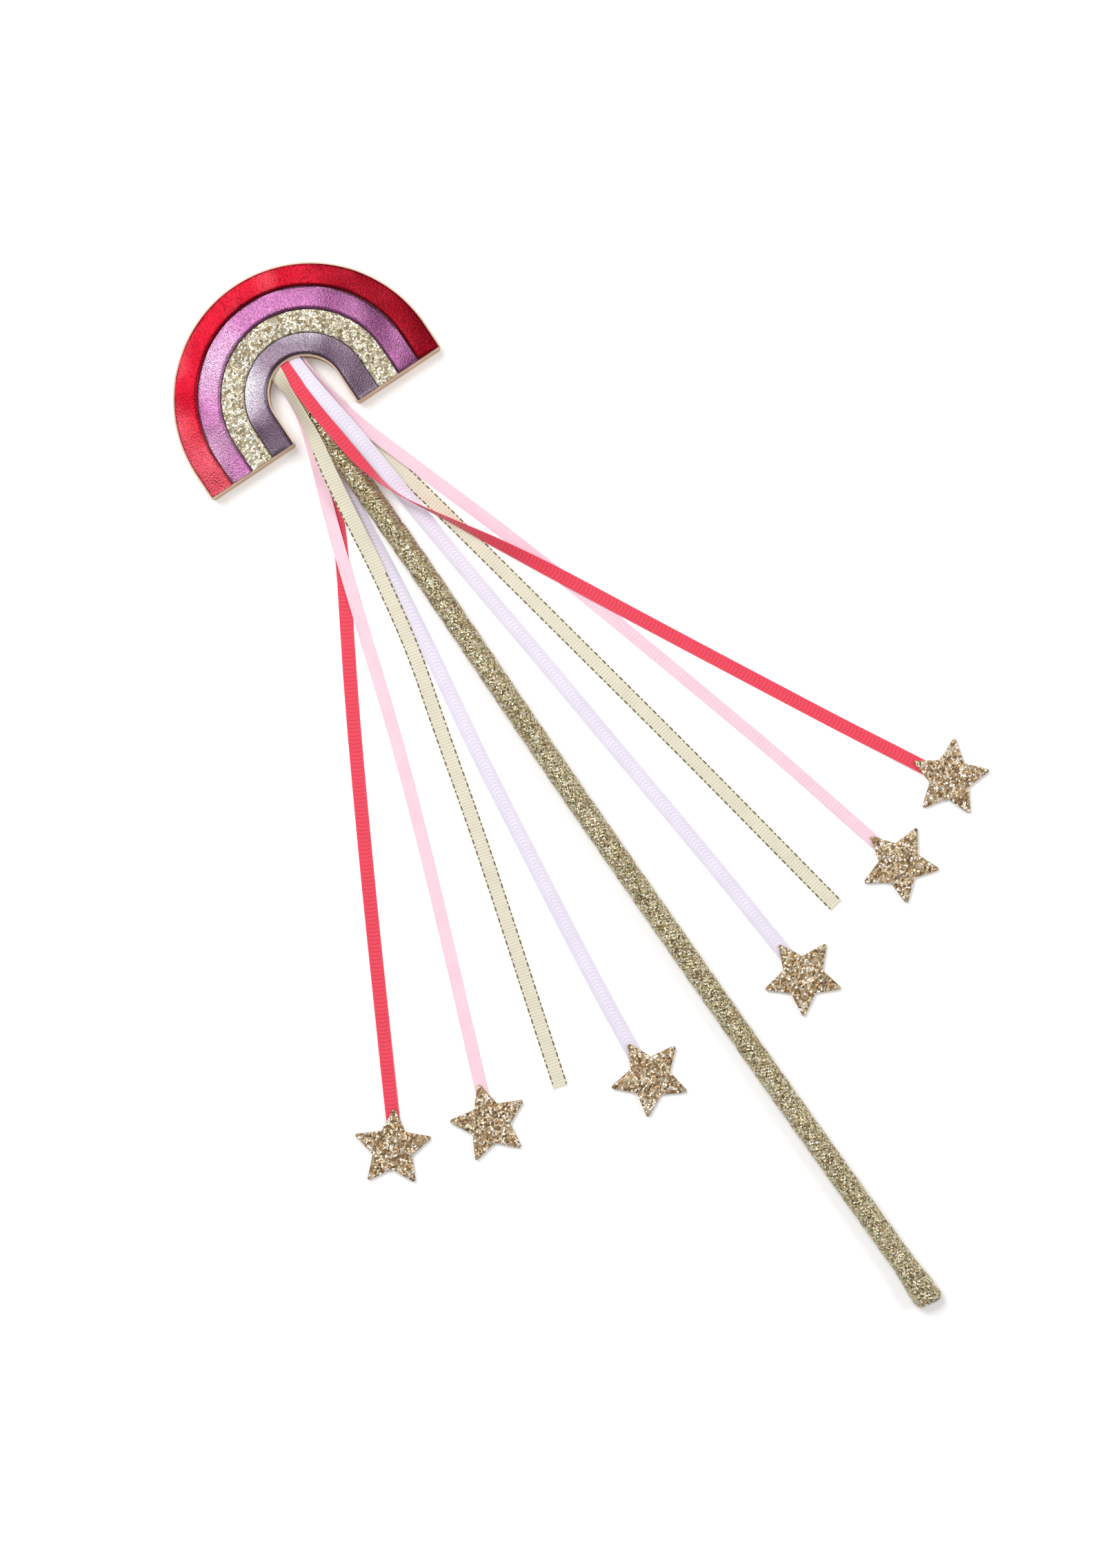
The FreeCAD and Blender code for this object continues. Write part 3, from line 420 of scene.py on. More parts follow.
def stitched(name, colour, width):
    """Fine plain weave of the stitched ribbon; its dashed metallic thread along both edges is made as separate
    stitches.
    """
    material, tree, shader = new_material(name, 0.58)
    across, along = ribbon_place(tree)
    weft = wave(tree, along, 0.00090)
    warp = wave(tree, across, 0.00030)
    weave = maths(tree, "MULTIPLY", weft, warp)
    place = add(tree, "ShaderNodeTexCoord").outputs["Object"]
    drift = add(tree, "ShaderNodeTexNoise", Vector=place, Scale=200.0, Detail=3.0).outputs["Fac"]
    tone = colour_ramp(tree, drift, [(0.3, shade(colour, 0.94)), (0.7, shade(colour, 1.04))])
    ridge = maths(tree, "ADD", maths(tree, "MULTIPLY", weft, 0.75), maths(tree, "MULTIPLY", weave, 0.25))
    # Painted shade: the hollows between the weft threads are darkened toward a shaded copy of the ribbon colour.
    cloth = mix_colour(tree, maths(tree, "MULTIPLY", maths(tree, "SUBTRACT", 1.0, ridge), 0.5),
                       tone, shade(colour, 0.58))
    tree.links.new(cloth, shader.inputs["Base Color"])
    tree.links.new(bump(tree, ridge, 0.6, 0.00010), shader.inputs["Normal"])
    shader.inputs["Sheen Weight"].default_value = 0.25
    shader.inputs["Sheen Roughness"].default_value = 0.45
    return material


def metal_thread(name):
    """Twisted dark gold thread of the stitching."""
    material, tree, shader = new_material(name, 0.38, 0.65)
    place = add(tree, "ShaderNodeTexCoord").outputs["Object"]
    twist = add(tree, "ShaderNodeTexWave", {"bands_direction": "DIAGONAL"}, Vector=place, Scale=2600.0,
                Distortion=1.0).outputs["Fac"]
    tone = colour_ramp(tree, twist, [(0.2, (0.045, 0.032, 0.015)), (0.8, (0.22, 0.16, 0.08))])
    tree.links.new(tone, shader.inputs["Base Color"])
    tree.links.new(bump(tree, twist, 0.5, 0.00005), shader.inputs["Normal"])
    return material


def dowel_wood(name):
    """Pale birch with grain along the stick."""
    material, tree, shader = new_material(name, 0.6)
    place = add(tree, "ShaderNodeTexCoord").outputs["Object"]
    long_way = add(tree, "ShaderNodeMapping", Vector=place, Scale=(900.0, 40.0, 900.0)).outputs[0]
    grain = add(tree, "ShaderNodeTexNoise", Vector=long_way, Scale=1.0, Detail=4.0).outputs["Fac"]
    tone = colour_ramp(tree, grain, [(0.3, (0.50, 0.34, 0.19)), (0.7, (0.74, 0.58, 0.38))])
    tree.links.new(tone, shader.inputs["Base Color"])
    tree.links.new(bump(tree, grain, 0.3, 0.0001), shader.inputs["Normal"])
    return material


def foam(name, colour):
    """Open-celled padding seen between the panels."""
    material, tree, shader = new_material(name, 0.85)
    place = add(tree, "ShaderNodeTexCoord").outputs["Object"]
    cells = add(tree, "ShaderNodeTexVoronoi", Vector=place, Scale=2200.0).outputs["Distance"]
    # Painted shade: the foam's pits are darkened toward a shaded copy of its colour.
    tone = colour_ramp(tree, cells, [(0.0, shade(colour, 0.7)), (0.6, colour)])
    tree.links.new(tone, shader.inputs["Base Color"])
    tree.links.new(bump(tree, cells, 0.6, 0.0001), shader.inputs["Normal"])
    return material


def floor_material(name):
    """Plain white paper."""
    material, tree, shader = new_material(name, 0.9)
    place = add(tree, "ShaderNodeTexCoord").outputs["Object"]
    mottle = add(tree, "ShaderNodeTexNoise", Vector=place, Scale=8.0, Detail=2.0).outputs["Fac"]
    tone = colour_ramp(tree, mottle, [(0.3, (0.90, 0.90, 0.90)), (0.7, (0.93, 0.93, 0.93))])
    tree.links.new(tone, shader.inputs["Base Color"])
    shader.inputs["Emission Color"].default_value = (1.0, 1.0, 1.0, 1.0)
    shader.inputs["Emission Strength"].default_value = 0.14
    return material


# ---------------------------------------------------------------- mesh helpers

def finish_piece(bm, name, material, smooth=True, angle=40):
    """Turn a bmesh into a piece at the origin with one material."""
    bmesh.ops.recalc_face_normals(bm, faces=bm.faces[:])
    mesh = bpy.data.meshes.new(name)
    bm.to_mesh(mesh)
    bm.free()
    mesh.materials.append(material)
    piece = bpy.data.objects.new(name, mesh)
    bpy.context.scene.collection.objects.link(piece)
    if smooth:
        mesh.polygons.foreach_set("use_smooth", [True] * len(mesh.polygons))
        mesh.set_sharp_from_angle(angle=math.radians(angle))
    return piece


def repaint(node, material):
    """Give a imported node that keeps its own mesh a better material."""
    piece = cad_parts[node]
    piece.data.materials.clear()
    piece.data.materials.append(material)


def in_head(point):
    """A point of the rainbow's own drawing, turned with the rainbow on the stick."""
    return Matrix.Rotation(HEAD_TURN, 3, "Z") @ Vector(point) + HEAD_CENTRE


def loft(sections, closed_ends=True):
    """A skin through closed sections, each a list of as many points."""
    bm = bmesh.new()
    ring = [bm.verts.new(point) for point in sections[0]]
    loop = [bm.edges.new((ring[i - 1], ring[i])) for i in range(len(ring))]
    first_loop = loop
    for section in sections[1:]:
        made = bmesh.ops.extrude_edge_only(bm, edges=loop)["geom"]
        loop = [item for item in made if isinstance(item, bmesh.types.BMEdge)]
        ring = next_ring(ring, made)
        for vert, point in zip(ring, section):
            vert.co = point
    if closed_ends:
        bmesh.ops.holes_fill(bm, edges=first_loop + loop, sides=0)
    return bm


def next_ring(ring, made):
    """The new vertices of an extruded ring, in the order of the old ones."""
    new = {item for item in made if isinstance(item, bmesh.types.BMVert)}
    ordered = []
    for vert in ring:
        ordered.append(next(edge.other_vert(vert) for edge in vert.link_edges if edge.other_vert(vert) in new))
    return ordered


# ---------------------------------------------------------------- rainbow

FOOT = -8.6 * MM
OUTLINES = {
    "outer": (41.7 * MM, 41.7 * MM),
    "rim": (41.25 * MM, 41.25 * MM),
    "red": (33.7 * MM, 34.6 * MM),
    "magenta": (26.5 * MM, 27.6 * MM),
    "gold": (19.2 * MM, 20.6 * MM),
    "purple": (11.75 * MM, 14.25 * MM),
    "opening": (11.3 * MM, 13.8 * MM),
}
LEG_STEPS = 8
ARC_STEPS = 96


def arch_line(half, crown, foot):
    """Points up the left leg, over the crown and down the right leg."""
    centre = crown - half
    points = []
    rises = [0.0, 0.03] + [step / LEG_STEPS for step in range(1, LEG_STEPS)]
    for rise in rises:
        points.append(Vector((-half, foot + (centre - foot) * rise, 0)))
    for step in range(ARC_STEPS + 1):
        angle = math.pi * (1 - step / ARC_STEPS)
        points.append(Vector((half * math.cos(angle), centre + half * math.sin(angle), 0)))
    for rise in reversed(rises):
        points.append(Vector((half, foot + (centre - foot) * rise, 0)))
    return points


def arch_piece(outer, inner, foot, profile, swell=0.0):
    """A skin along the arch. profile gives (share from inner to outer, height, softness) round the section."""
    outside = arch_line(*outer, foot)
    inside = arch_line(*inner, foot)
    sections = []
    last = len(outside) - 1
    for index in range(len(outside)):
        to_end = min(index, last - index)
        ease = min(1.0, (to_end + 1) / 2)
        section = []
        for share, height, softness in profile:
            spot = inside[index].lerp(outside[index], share)
            dome = DOME * (0.5 - (spot.length / DOME_REACH) ** 2)
            rise = softness * (dome + swell * ease * noise.noise(spot * SWELL_SCALE))
            section.append(in_head((spot.x, spot.y, height + rise)))
        sections.append(section)
    return loft(sections)


SWELL_SCALE = 95.0
DOME = 0.7 * MM
DOME_REACH = 41.7 * MM


def band_profile(bottom, thick, crown):
    """Section of a band: flat below, rolled edges, a nearly flat top that falls away outwards."""
    tilt = 0.3 * MM
    rise = [(0.0, 0.25), (0.004, 0.65), (0.012, 0.9), (0.024, 1.0)]
    points = [(0.0, bottom, 0.0)]
    points += [(share, bottom + thick * part, part) for share, part in rise]
    for step in range(1, 12):
        share = 0.024 + 0.952 * step / 12
        round_top = 1 - abs(2 * share - 1) ** 6
        points.append((share, bottom + thick + crown * round_top + tilt * (0.5 - share), 1.0))
    points += [(1 - share, bottom + thick * part, part) for share, part in reversed(rise)]
    points.append((1.0, bottom, 0.0))
    return points


def padding_profile(bottom, top, swell):
    """Section of the padding: flat against the panels, its sides swelling outwards."""
    middle, half = (bottom + top) / 2, (top - bottom) / 2
    angles = [math.pi * (step / 8 - 0.5) for step in range(9)]
    inner = [(-swell * math.cos(angle), middle + half * math.sin(angle), 0.0) for angle in angles]
    return inner + [(1 - share, height, 0.0) for share, height, _ in reversed(inner)]


class WAND_OT_bands(bpy.types.Operator):
    """Make the four crowned bands of the rainbow"""

    bl_idname = "wand.bands"
    bl_label = "Rainbow bands"

    def execute(self, context):
        colours = context.scene.wand_colours
        sizes = context.scene.wand_sizes
        gap = 0.03 * MM
        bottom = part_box("front_base")[1][2]
        # The three leatherette bands get painted highlights and painted shade from the highlight colour, turn and
        # slope given here.
        finishes = {
            "band_red": ("rim", "red", leatherette(
                "crimson leatherette", colours.crimson, 0.27, 0.95, coat=0.02, painted_highlight=(0.40, 0.055, 0.075))),
            "band_magenta": ("red", "magenta", leatherette(
                "orchid leatherette", colours.orchid, coat=0.12, painted_highlight=(0.32, 0.21, 0.285), turn=3.1)),
            "band_gold": ("magenta", "gold", glitter(
                "band glitter", sizes.glitter, PALE_GOLD, (0.30, 0.24, 0.15))),
            "band_purple": ("gold", "purple", leatherette(
                "plum leatherette", colours.plum, coat=0.3, painted_highlight=(0.36, 0.34, 0.38), turn=5.3,
                slope=(-2.0, 11.0, 0.0))),
        }
        for node, (outside, inside, material) in finishes.items():
            outer_gap = 0.0 if outside == "rim" else gap
            inner_gap = 0.0 if inside == "purple" else gap
            outer = tuple(value - outer_gap for value in OUTLINES[outside])
            inner = tuple(value + inner_gap for value in OUTLINES[inside])
            profile = band_profile(bottom, 0.9 * MM, sizes.band_crown)
            bm = arch_piece(outer, inner, FOOT + 0.45 * MM, profile, sizes.band_swell)
            piece = finish_piece(bm, f"rainbow_{node}", material)
            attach(piece, "wand")
            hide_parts(node)
        return {"FINISHED"}


class WAND_OT_panels(bpy.types.Operator):
    """Make the padding and finish the panels of the rainbow"""

    bl_idname = "wand.panels"
    bl_label = "Rainbow panels"

    def execute(self, context):
        colours = context.scene.wand_colours
        tan = leatherette("tan leatherette", colours.tan, 0.5, 0.0)
        repaint("front_base", tan)
        repaint("back_panel", tan)
        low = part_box("back_panel")[1][2]
        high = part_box("front_base")[0][2]
        inset = 0.55 * MM
        outer = tuple(value - inset for value in OUTLINES["outer"])
        inner = tuple(value + inset for value in OUTLINES["opening"])
        bm = arch_piece(outer, inner, FOOT + inset, padding_profile(low, high, 0.018))
        padding = finish_piece(bm, "rainbow_padding", foam("cream foam", (0.80, 0.62, 0.46)))
        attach(padding, "wand")
        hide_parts("foam_pad")
        return {"FINISHED"}


# ---------------------------------------------------------------- stick

WRAP_ROWS = 8


# How far the wound strip runs to one side of the dowel's axis, by place along the stick, in mm.
BOW = [
    (-172, 0.0), (-150, -0.33), (-120, -0.65), (-90, -0.85), (-60, -0.93), (-30, -0.95), (0, -0.92),
    (30, -0.62), (60, -0.15), (85, 0.18), (110, 0.14), (130, 0.0),
]


def stick_bow(y):
    """The sideways run of the strip at y, in metres."""
    place = y / MM
    if not BOW[0][0] < place < BOW[-1][0]:
        return 0.0
    after = next(index for index, (at, _) in enumerate(BOW) if at >= place)
    (start, first), (end, last) = BOW[after - 1], BOW[after]
    return (first + (last - first) * (place - start) / (end - start)) * MM


def map_strip(bm, axis, start, pitch, radius):
    """A map of the strip wound round the stick: across it and along it, in metres."""
    layer = bm.loops.layers.uv.new("strip")
    for face in bm.faces:
        middle = face.calc_center_median() - axis
        about = math.atan2(middle.z, middle.x)
        for corner in face.loops:
            spot = corner.vert.co - axis
            turn = about + math.remainder(math.atan2(spot.z, spot.x) - about, 2 * math.pi)
            across = corner.vert.co.y - start - pitch * (turn / (2 * math.pi))
            corner[layer].uv = (across, turn * radius)


class WAND_OT_stick(bpy.types.Operator):
    """Make the wound glitter strip and its folded end, and give the dowel its wood material"""

    bl_idname = "wand.stick"
    bl_label = "Wrapped stick"

    def execute(self, context):
        sizes = context.scene.wand_sizes
        gold = glitter("stick glitter", sizes.glitter * 0.6, STICK_GOLD, (0.17, 0.12, 0.055), 0.75,
                       metallic=0.75, wound=(sizes.wrap_pitch, 0.00105))
        repaint("stick_core", dowel_wood("dowel wood"))
        self.wrap(sizes, gold)
        self.fold(sizes, gold)
        return {"FINISHED"}

    def wrap(self, sizes, material):
        """One strip wound on a slant, each turn over the edge of the last."""
        low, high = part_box("stick_wrap")
        axis = Vector(((low[0] + high[0]) / 2, 0, (low[2] + high[2]) / 2))
        radius = (high[0] - low[0]) / 2
        taper = 10 * MM
        turns = int((high[1] - low[1]) / sizes.wrap_pitch) + 2
        bm = bmesh.new()
        rows = turns * WRAP_ROWS
        bmesh.ops.create_grid(bm, x_segments=sizes.around, y_segments=rows, size=1.0)
        for vert in bm.verts:
            share = (vert.co.x + 1) / 2
            row = (vert.co.y + 1) / 2 * rows
            turn, part = divmod(row + 1e-4, WRAP_ROWS)
            part = max(0.0, part - 1e-4) / WRAP_ROWS
            along = low[1] + sizes.wrap_pitch * (turn + part + share - 1)
            lift = self.turn_height(part) * sizes.wrap_step
            near_top = max(0.0, along - (high[1] - taper)) / taper
            reach = radius - sizes.wrap_step * 0.75 + lift - 0.9 * MM * min(1.0, near_top)
            angle = 2 * math.pi * share
            vert.co = axis + Vector((reach * math.cos(angle), along, reach * math.sin(angle)))
        bmesh.ops.remove_doubles(bm, verts=bm.verts[:], dist=1e-6)
        everything = bm.verts[:] + bm.edges[:] + bm.faces[:]
        for level, outward in ((low[1], -1), (high[1], 1)):
            everything = bm.verts[:] + bm.edges[:] + bm.faces[:]
            bmesh.ops.bisect_plane(bm, geom=everything, plane_co=(0, level, 0), plane_no=(0, outward, 0),
                                   clear_outer=True)
        bmesh.ops.holes_fill(bm, edges=[edge for edge in bm.edges if edge.is_boundary], sides=0)
        map_strip(bm, axis, low[1], sizes.wrap_pitch, radius)
        for vert in bm.verts:
            vert.co.x += stick_bow(vert.co.y)
        piece = finish_piece(bm, "wound_glitter_strip", material, angle=50)
        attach(piece, "wand")
        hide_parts("stick_wrap")

    @staticmethod
    def turn_height(part):
        """Height of the strip across one turn: a slow rise and a rounded drop at its edge."""
        if part < 0.8:
            return part / 0.8
        return 1.0 if part < 0.9 else 0.15

    def fold(self, sizes, material):
        """The strip folded over the end of the dowel, pressed a little out of round."""
        low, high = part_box("wrap_end_fold")
        axis = Vector(((low[0] + high[0]) / 2, 0, (low[2] + high[2]) / 2))
        full = (high[0] - low[0]) / 2
        steps = [
            (13.7, 3.72), (12.0, 3.85), (9.5, 4.02), (7.4, 4.25), (6.3, 4.42), (5.2, 4.30), (4.6, 4.18),
            (3.6, 4.34), (2.2, 4.42), (1.2, 4.25), (0.55, 3.85), (0.15, 3.2), (0.0, 2.0), (0.0, 0.6),
        ]
        sections = []
        for rise, reach in steps:
            section = []
            for index in range(48):
                angle = 2 * math.pi * index / 48
                slant = 0.55 * MM * math.cos(angle) * (1 - min(1.0, rise / 9.0))
                dent = 1 + 0.018 * math.sin(3 * angle + rise) * min(1.0, rise / 3)
                around = min(full, reach * MM * dent)
                y = low[1] + rise * MM + max(0.0, 0.55 * MM - slant) * (1 - min(1.0, rise / 9.0))
                section.append(axis + Vector((around * math.cos(angle), y, around * math.sin(angle))))
            sections.append(section)
        bm = loft(sections)
        map_strip(bm, axis, low[1], sizes.wrap_pitch, full)
        piece = finish_piece(bm, "folded_strip_end", material)
        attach(piece, "wand")
        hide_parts("wrap_end_fold")


# ---------------------------------------------------------------- ribbons

def spline_points(name):
    """Points read from the smooth line of a ribbon's route."""
    curve = bpy.data.curves.new(f"line_{name}", "CURVE")
    curve.dimensions = "3D"
    spline = curve.splines.new("NURBS")
    spline.points.add(len(ROUTES[name]) - 1)
    for point, place in zip(spline.points, ROUTES[name]):
        point.co = (*place, 1.0)
    spline.order_u = 3
    spline.use_endpoint_u = True
    spline.resolution_u = 14
    carrier = bpy.data.objects.new(f"line_{name}", curve)
    bpy.context.scene.collection.objects.link(carrier)
    mesh = bpy.data.meshes.new_from_object(carrier)
    points = [vert.co.copy() for vert in mesh.vertices]
    bpy.data.objects.remove(carrier)
    bpy.data.meshes.remove(mesh)
    bpy.data.curves.remove(curve)
    return points


def measured(points):
    """Distance from the first point to each point."""
    lengths = [0.0]
    for before, after in zip(points, points[1:]):
        lengths.append(lengths[-1] + (after - before).length)
    return lengths


def cut_line(points, at):
    """The line split at a distance from its start, with a point at the cut in both parts."""
    lengths = measured(points)
    index = next(i for i, length in enumerate(lengths) if length >= at)
    share = (at - lengths[index - 1]) / (lengths[index] - lengths[index - 1])
    middle = points[index - 1].lerp(points[index], share)
    return points[:index] + [middle], [middle] + points[index:]


def roll_at(name, y):
    """Roll of a ribbon at a place along the wand, eased between its given places."""
    stops = ROLLS.get(name)
    if not stops:
        return 0.0
    if y >= stops[0][0]:
        return math.radians(stops[0][1])
    for (high, start), (low, end) in zip(stops, stops[1:]):
        if y >= low:
            share = (high - y) / (high - low)
            return math.radians(start + (end - start) * share)
    return math.radians(stops[-1][1])


def strip_frames(name, points):
    """For each point: place, side way and face way of the ribbon."""
    frames = []
    for index, point in enumerate(points):
        before = points[max(0, index - 1)]
        after = points[min(len(points) - 1, index + 1)]
        forward = (after - before).normalized()
        side = Vector((0, 0, 1)).cross(forward).normalized()
        face = forward.cross(side).normalized()
        roll = roll_at(name, point.y)
        turned = side * math.cos(roll) + face * math.sin(roll)
        frames.append((point, turned, forward.cross(turned).normalized()))
    return frames


ACROSS = [0.0, 0.04, 0.16, 0.33, 0.5, 0.67, 0.84, 0.96, 1.0]


def strip_mesh(name, points, width, start=0.0, cup=0.0):
    """A closed ribbon along points, with its own map of metres across and along."""
    lengths = measured(points)
    sections = []
    for point, side, face in strip_frames(name, points):
        section = []
        for share in ACROSS:
            edge = RIBBON_THICK / 2 * (0.55 if share in (0.0, 1.0) else 1.0)
            lift = cup * (2 * share - 1) ** 2
            section.append(point + side * width * (share - 0.5) + face * (edge + lift))
        for share in reversed(ACROSS):
            edge = RIBBON_THICK / 2 * (0.55 if share in (0.0, 1.0) else 1.0)
            lift = cup * (2 * share - 1) ** 2
            section.append(point + side * width * (share - 0.5) - face * (edge - lift))
        sections.append(section)
    bm = bmesh.new()
    around = len(sections[0])
    layer = bm.loops.layers.uv.new("along")
    measure = bm.verts.layers.float_vector.new("measure")
    shares = ACROSS + list(reversed(ACROSS))
    ring = [bm.verts.new(point) for point in sections[0]]
    for vert, share in zip(ring, shares):
        vert[measure] = (share * width, start, 0)
    loop = [bm.edges.new((ring[i - 1], ring[i])) for i in range(around)]
    first_loop = loop
    for section, length in zip(sections[1:], lengths[1:]):
        made = bmesh.ops.extrude_edge_only(bm, edges=loop)["geom"]
        loop = [item for item in made if isinstance(item, bmesh.types.BMEdge)]
        ring = next_ring(ring, made)
        for vert, point, share in zip(ring, section, shares):
            vert.co = point
            vert[measure] = (share * width, start + length, 0)
    bmesh.ops.holes_fill(bm, edges=first_loop + loop, sides=0)
    for face in bm.faces:
        for corner in face.loops:
            corner[layer].uv = corner.vert[measure].xy
    return bm


def ribbon_material(kind, name, context, cache):
    """The cloth of a ribbon, made once for each kind."""
    colours = context.scene.wand_colours
    rib = context.scene.wand_sizes.rib
    width = RIBBON_WIDTH[kind]
    key = name if kind == "pink" else kind
    if key not in cache:
        if kind == "red":
            cache[key] = grosgrain("red grosgrain", colours.red_ribbon, width, rib, 1.0, 0.5, 0.9)
        elif kind == "lilac":
            cache[key] = grosgrain("lilac grosgrain", colours.lilac_ribbon, width, rib, 0.62, -1.8, 0.82, 0.46)
        elif kind == "cream":
            cache[key] = stitched("cream stitched ribbon", colours.cream_ribbon, width)
        elif name == "pink_right":
            cache[key] = grosgrain("pink ribbed satin", colours.pink_ribbon, width, rib, 0.35, 0.0, 0.95)
        else:
            cache[key] = grosgrain("pink satin", colours.pink_ribbon, width, rib * 0.6, 0.12, 0.0, 0.96)
    return cache[key]


STITCH_START = {"cream_left": (34 * MM, 76 * MM), "cream_right": (22 * MM, 22 * MM)}


class WAND_OT_ribbons(bpy.types.Operator):
    """Make the eight ribbon tails, their stitching and the ends held in the stars"""

    bl_idname = "wand.ribbons"
    bl_label = "Ribbon tails"

    def execute(self, context):
        cache = {}
        thread = metal_thread("dark gold thread")
        for name in ROUTES:
            kind = name.split("_")[0]
            width = RIBBON_WIDTH[kind]
            material = ribbon_material(kind, name, context, cache)
            points = spline_points(name)
            total = measured(points)[-1]
            held = name in STARS
            main, rest = cut_line(points, total - TAB_LENGTH) if held else (points, [])
            bm = strip_mesh(name, main, width)
            piece = finish_piece(bm, f"ribbon_{name}", material)
            self.follow(piece, name)
            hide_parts(f"ribbon_{name}_upper", f"ribbon_{name}_tail")
            if held:
                end_bm = strip_mesh(name, rest, width, total - TAB_LENGTH)
                end = finish_piece(end_bm, f"ribbon_{name}_end", material)
                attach(end, f"star_{name}")
                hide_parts(f"ribbon_{name}_tab")
            else:
                stitches = self.stitching(name, main, width, thread)
                self.follow(stitches, name)
        return {"FINISHED"}

    @staticmethod
    def follow(piece, name):
        """Bakes the piece's placement into its mesh."""
        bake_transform(piece)

    @staticmethod
    def stitching(name, points, width, material):
        """Raised stitches along both edges of a ribbon, a long and a short one in turn."""
        pitch = 1.8 * MM
        halves = (1.0 * MM, 0.42 * MM)
        half_wide = 0.27 * MM
        lengths = measured(points)
        frames = strip_frames(name, points)
        bm = bmesh.new()
        for edge_share, offset in ((0.055, 0.0), (0.945, 0.6)):
            first = STITCH_START[name][0 if edge_share < 0.5 else 1]
            count = int(lengths[-1] / pitch)
            for number in range(count):
                half_long = halves[number % 2]
                at = (number + 0.5 + offset) * pitch
                if not first < at < lengths[-1] - half_long:
                    continue
                index = next(i for i, length in enumerate(lengths) if length >= at)
                share = (at - lengths[index - 1]) / (lengths[index] - lengths[index - 1])
                point = frames[index - 1][0].lerp(frames[index][0], share)
                side, face = frames[index][1], frames[index][2]
                forward = side.cross(face)
                centre = point + side * width * (edge_share - 0.5) + face * RIBBON_THICK * 0.5
                matrix = Matrix((
                    (*(side * half_wide),), (*(forward * half_long),), (*(face * half_wide * 0.7),),
                )).transposed().to_4x4()
                matrix.translation = centre
                bmesh.ops.create_icosphere(bm, subdivisions=1, radius=1.0, matrix=matrix)
        return finish_piece(bm, f"stitching_{name}", material)


# ---------------------------------------------------------------- stars

TIP_STEPS = 4
TIP_ROUND = 0.55 * MM


def star_outline(radius, inner):
    """Round-tipped star outline about the origin, upper tip along +Y."""
    points = []
    half = math.atan2(inner * math.sin(math.pi / 5), radius - inner * math.cos(math.pi / 5))
    hub = radius - TIP_ROUND
    for arm in range(5):
        turn = Matrix.Rotation(-2 * math.pi * arm / 5, 3, "Z")
        for step in range(TIP_STEPS + 1):
            angle = (math.pi - half) - (math.pi - 2 * half) * step / TIP_STEPS
            tip = Vector((TIP_ROUND * math.cos(angle), hub + TIP_ROUND * math.sin(angle), 0))
            points.append(turn @ tip)
        corner = Vector((inner * math.sin(math.pi / 5), inner * math.cos(math.pi / 5), 0))
        points.append(turn @ corner)
    return points


class WAND_OT_stars(bpy.types.Operator):
    """Make the six two-layer glitter stars"""

    bl_idname = "wand.stars"
    bl_label = "Glitter stars"

    def execute(self, context):
        sizes = context.scene.wand_sizes
        gold = glitter("star glitter", sizes.glitter * 0.85, ROSE_GOLD, (0.26, 0.14, 0.065), 0.62)
        for name, (x, y, turn) in STARS.items():
            for side in ("front", "back"):
                node = f"star_{name}_{side}"
                low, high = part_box(node)
                bm = self.layer(sizes, low[2], high[2], side)
                place = Matrix.Translation((x, y, 0)) @ Matrix.Rotation(math.radians(-turn), 4, "Z")
                bmesh.ops.transform(bm, matrix=place, verts=bm.verts[:])
                piece = finish_piece(bm, f"{node}_layer", gold, angle=35)
                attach(piece, f"star_{name}")
                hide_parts(node)
        return {"FINISHED"}

    @staticmethod
    def layer(sizes, low, high, side):
        """One layer: rings from the middle of the underside out, up the edge and in again over the face."""
        outline = star_outline(sizes.star_radius, sizes.star_inner)
        cap = 0.12 * MM if side == "front" else 0.0
        rings = [(0.04, low), (0.5, low), (0.985, low), (1.0, low + 0.08 * MM), (1.0, high - 0.16 * MM),
                 (0.985, high - 0.04 * MM), (0.955, high), (0.85, high + cap * 0.4), (0.6, high + cap * 0.8),
                 (0.3, high + cap), (0.04, high + cap)]
        sections = [[point * share + Vector((0, 0, height)) for point in outline] for share, height in rings]
        return loft(sections)


# ---------------------------------------------------------------- stage

VIEW_CENTRE = Vector((-0.0045, 0.0070, 0.0))
VIEW_TURN = math.radians(-34.83)
VIEW_HEIGHT = 1.35
VIEW_TALL = 0.4775


def area_light(name, place, size, power, colour=(1.0, 1.0, 1.0)):
    """A soft square light aimed at the wand."""
    data = bpy.data.lights.new(name, "AREA")
    data.shape = "RECTANGLE"
    data.size, data.size_y = size
    data.energy = power
    data.color = colour
    light = bpy.data.objects.new(name, data)
    light.location = place
    light.rotation_euler = (Vector((0, 0.03, 0)) - Vector(place)).to_track_quat("-Z", "Y").to_euler()
    bpy.context.scene.collection.objects.link(light)


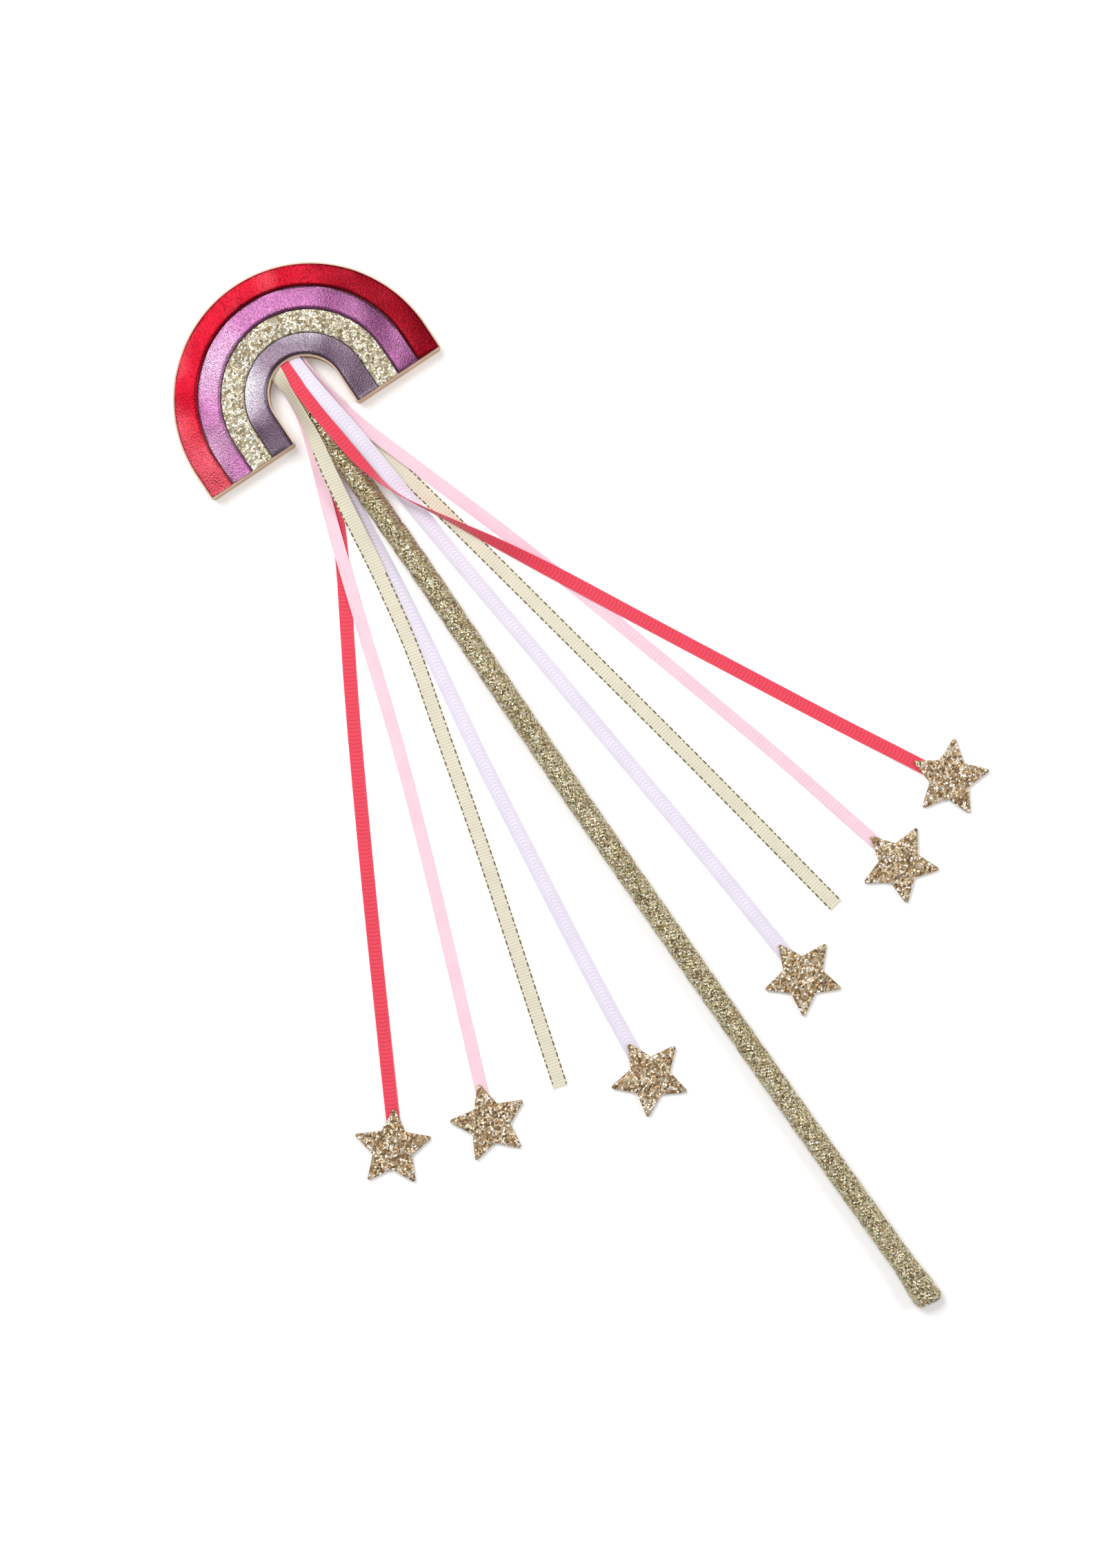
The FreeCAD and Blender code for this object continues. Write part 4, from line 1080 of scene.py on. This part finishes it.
class WAND_OT_stage(bpy.types.Operator):
    """Make the floor, the lights and the camera"""

    bl_idname = "wand.stage"
    bl_label = "Stage"

    def execute(self, context):
        bm = bmesh.new()
        bmesh.ops.create_grid(bm, x_segments=1, y_segments=1, size=3.0)
        floor = finish_piece(bm, "floor", floor_material("white paper"), smooth=False)
        for vert in floor.data.vertices:
            vert.co.z = -0.00005
        right = Vector((math.cos(VIEW_TURN), math.sin(VIEW_TURN), 0))
        up = Vector((-math.sin(VIEW_TURN), math.cos(VIEW_TURN), 0))
        area_light("key", tuple(-right * 0.40 + up * 0.46 + Vector((0, 0, 1.25))), (0.6, 0.6), 12.5)
        area_light("side", tuple(-right * 0.9 - up * 0.5 + Vector((0, 0, 1.1))), (0.7, 0.7), 2.0)
        area_light("fill", tuple(right * 1.0 + up * 0.35 + Vector((0, 0, 1.25))), (0.7, 0.7), 8.0)
        world = bpy.data.worlds.new("soft room")
        world.use_nodes = True
        background = world.node_tree.nodes["Background"]
        background.inputs["Color"].default_value = (1.0, 1.0, 1.0, 1.0)
        background.inputs["Strength"].default_value = 0.34
        context.scene.world = world
        context.scene.view_settings.view_transform = "Standard"
        data = bpy.data.cameras.new("camera")
        data.sensor_fit = "VERTICAL"
        data.sensor_height = 36.0
        data.lens = data.sensor_height * VIEW_HEIGHT / VIEW_TALL
        data.clip_end = 20.0
        camera = bpy.data.objects.new("camera", data)
        camera.location = VIEW_CENTRE + Vector((0, 0, VIEW_HEIGHT))
        camera.rotation_euler = (0, 0, VIEW_TURN)
        context.scene.collection.objects.link(camera)
        context.scene.camera = camera
        return {"FINISHED"}


# ---------------------------------------------------------------- panel and registration

STEPS = ("stage", "bands", "panels", "stick", "stars", "ribbons")


class WAND_PT_tools(bpy.types.Panel):
    """Lists the pieces of the wand"""

    bl_idname = "WAND_PT_tools"
    bl_label = "Ribbon Wand"
    bl_space_type = "VIEW_3D"
    bl_region_type = "UI"
    bl_category = "Wand"

    def draw(self, context):
        for step in STEPS:
            self.layout.operator(f"wand.{step}")
        for group in (context.scene.wand_sizes, context.scene.wand_colours):
            for key in group.__annotations__:
                self.layout.prop(group, key)


CLASSES = (
    WandColours, WandSizes, WAND_OT_stage, WAND_OT_bands, WAND_OT_panels, WAND_OT_stick,
    WAND_OT_stars, WAND_OT_ribbons, WAND_PT_tools,
)


def register():
    for item in CLASSES:
        bpy.utils.register_class(item)
    bpy.types.Scene.wand_colours = PointerProperty(type=WandColours)
    bpy.types.Scene.wand_sizes = PointerProperty(type=WandSizes)


def unregister():
    del bpy.types.Scene.wand_sizes
    del bpy.types.Scene.wand_colours
    for item in reversed(CLASSES):
        bpy.utils.unregister_class(item)


def main():
    """Build everything in order."""
    register()
    for step in STEPS:
        getattr(bpy.ops.wand, step)()
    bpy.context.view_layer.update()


if __name__ == "__main__":
    main()
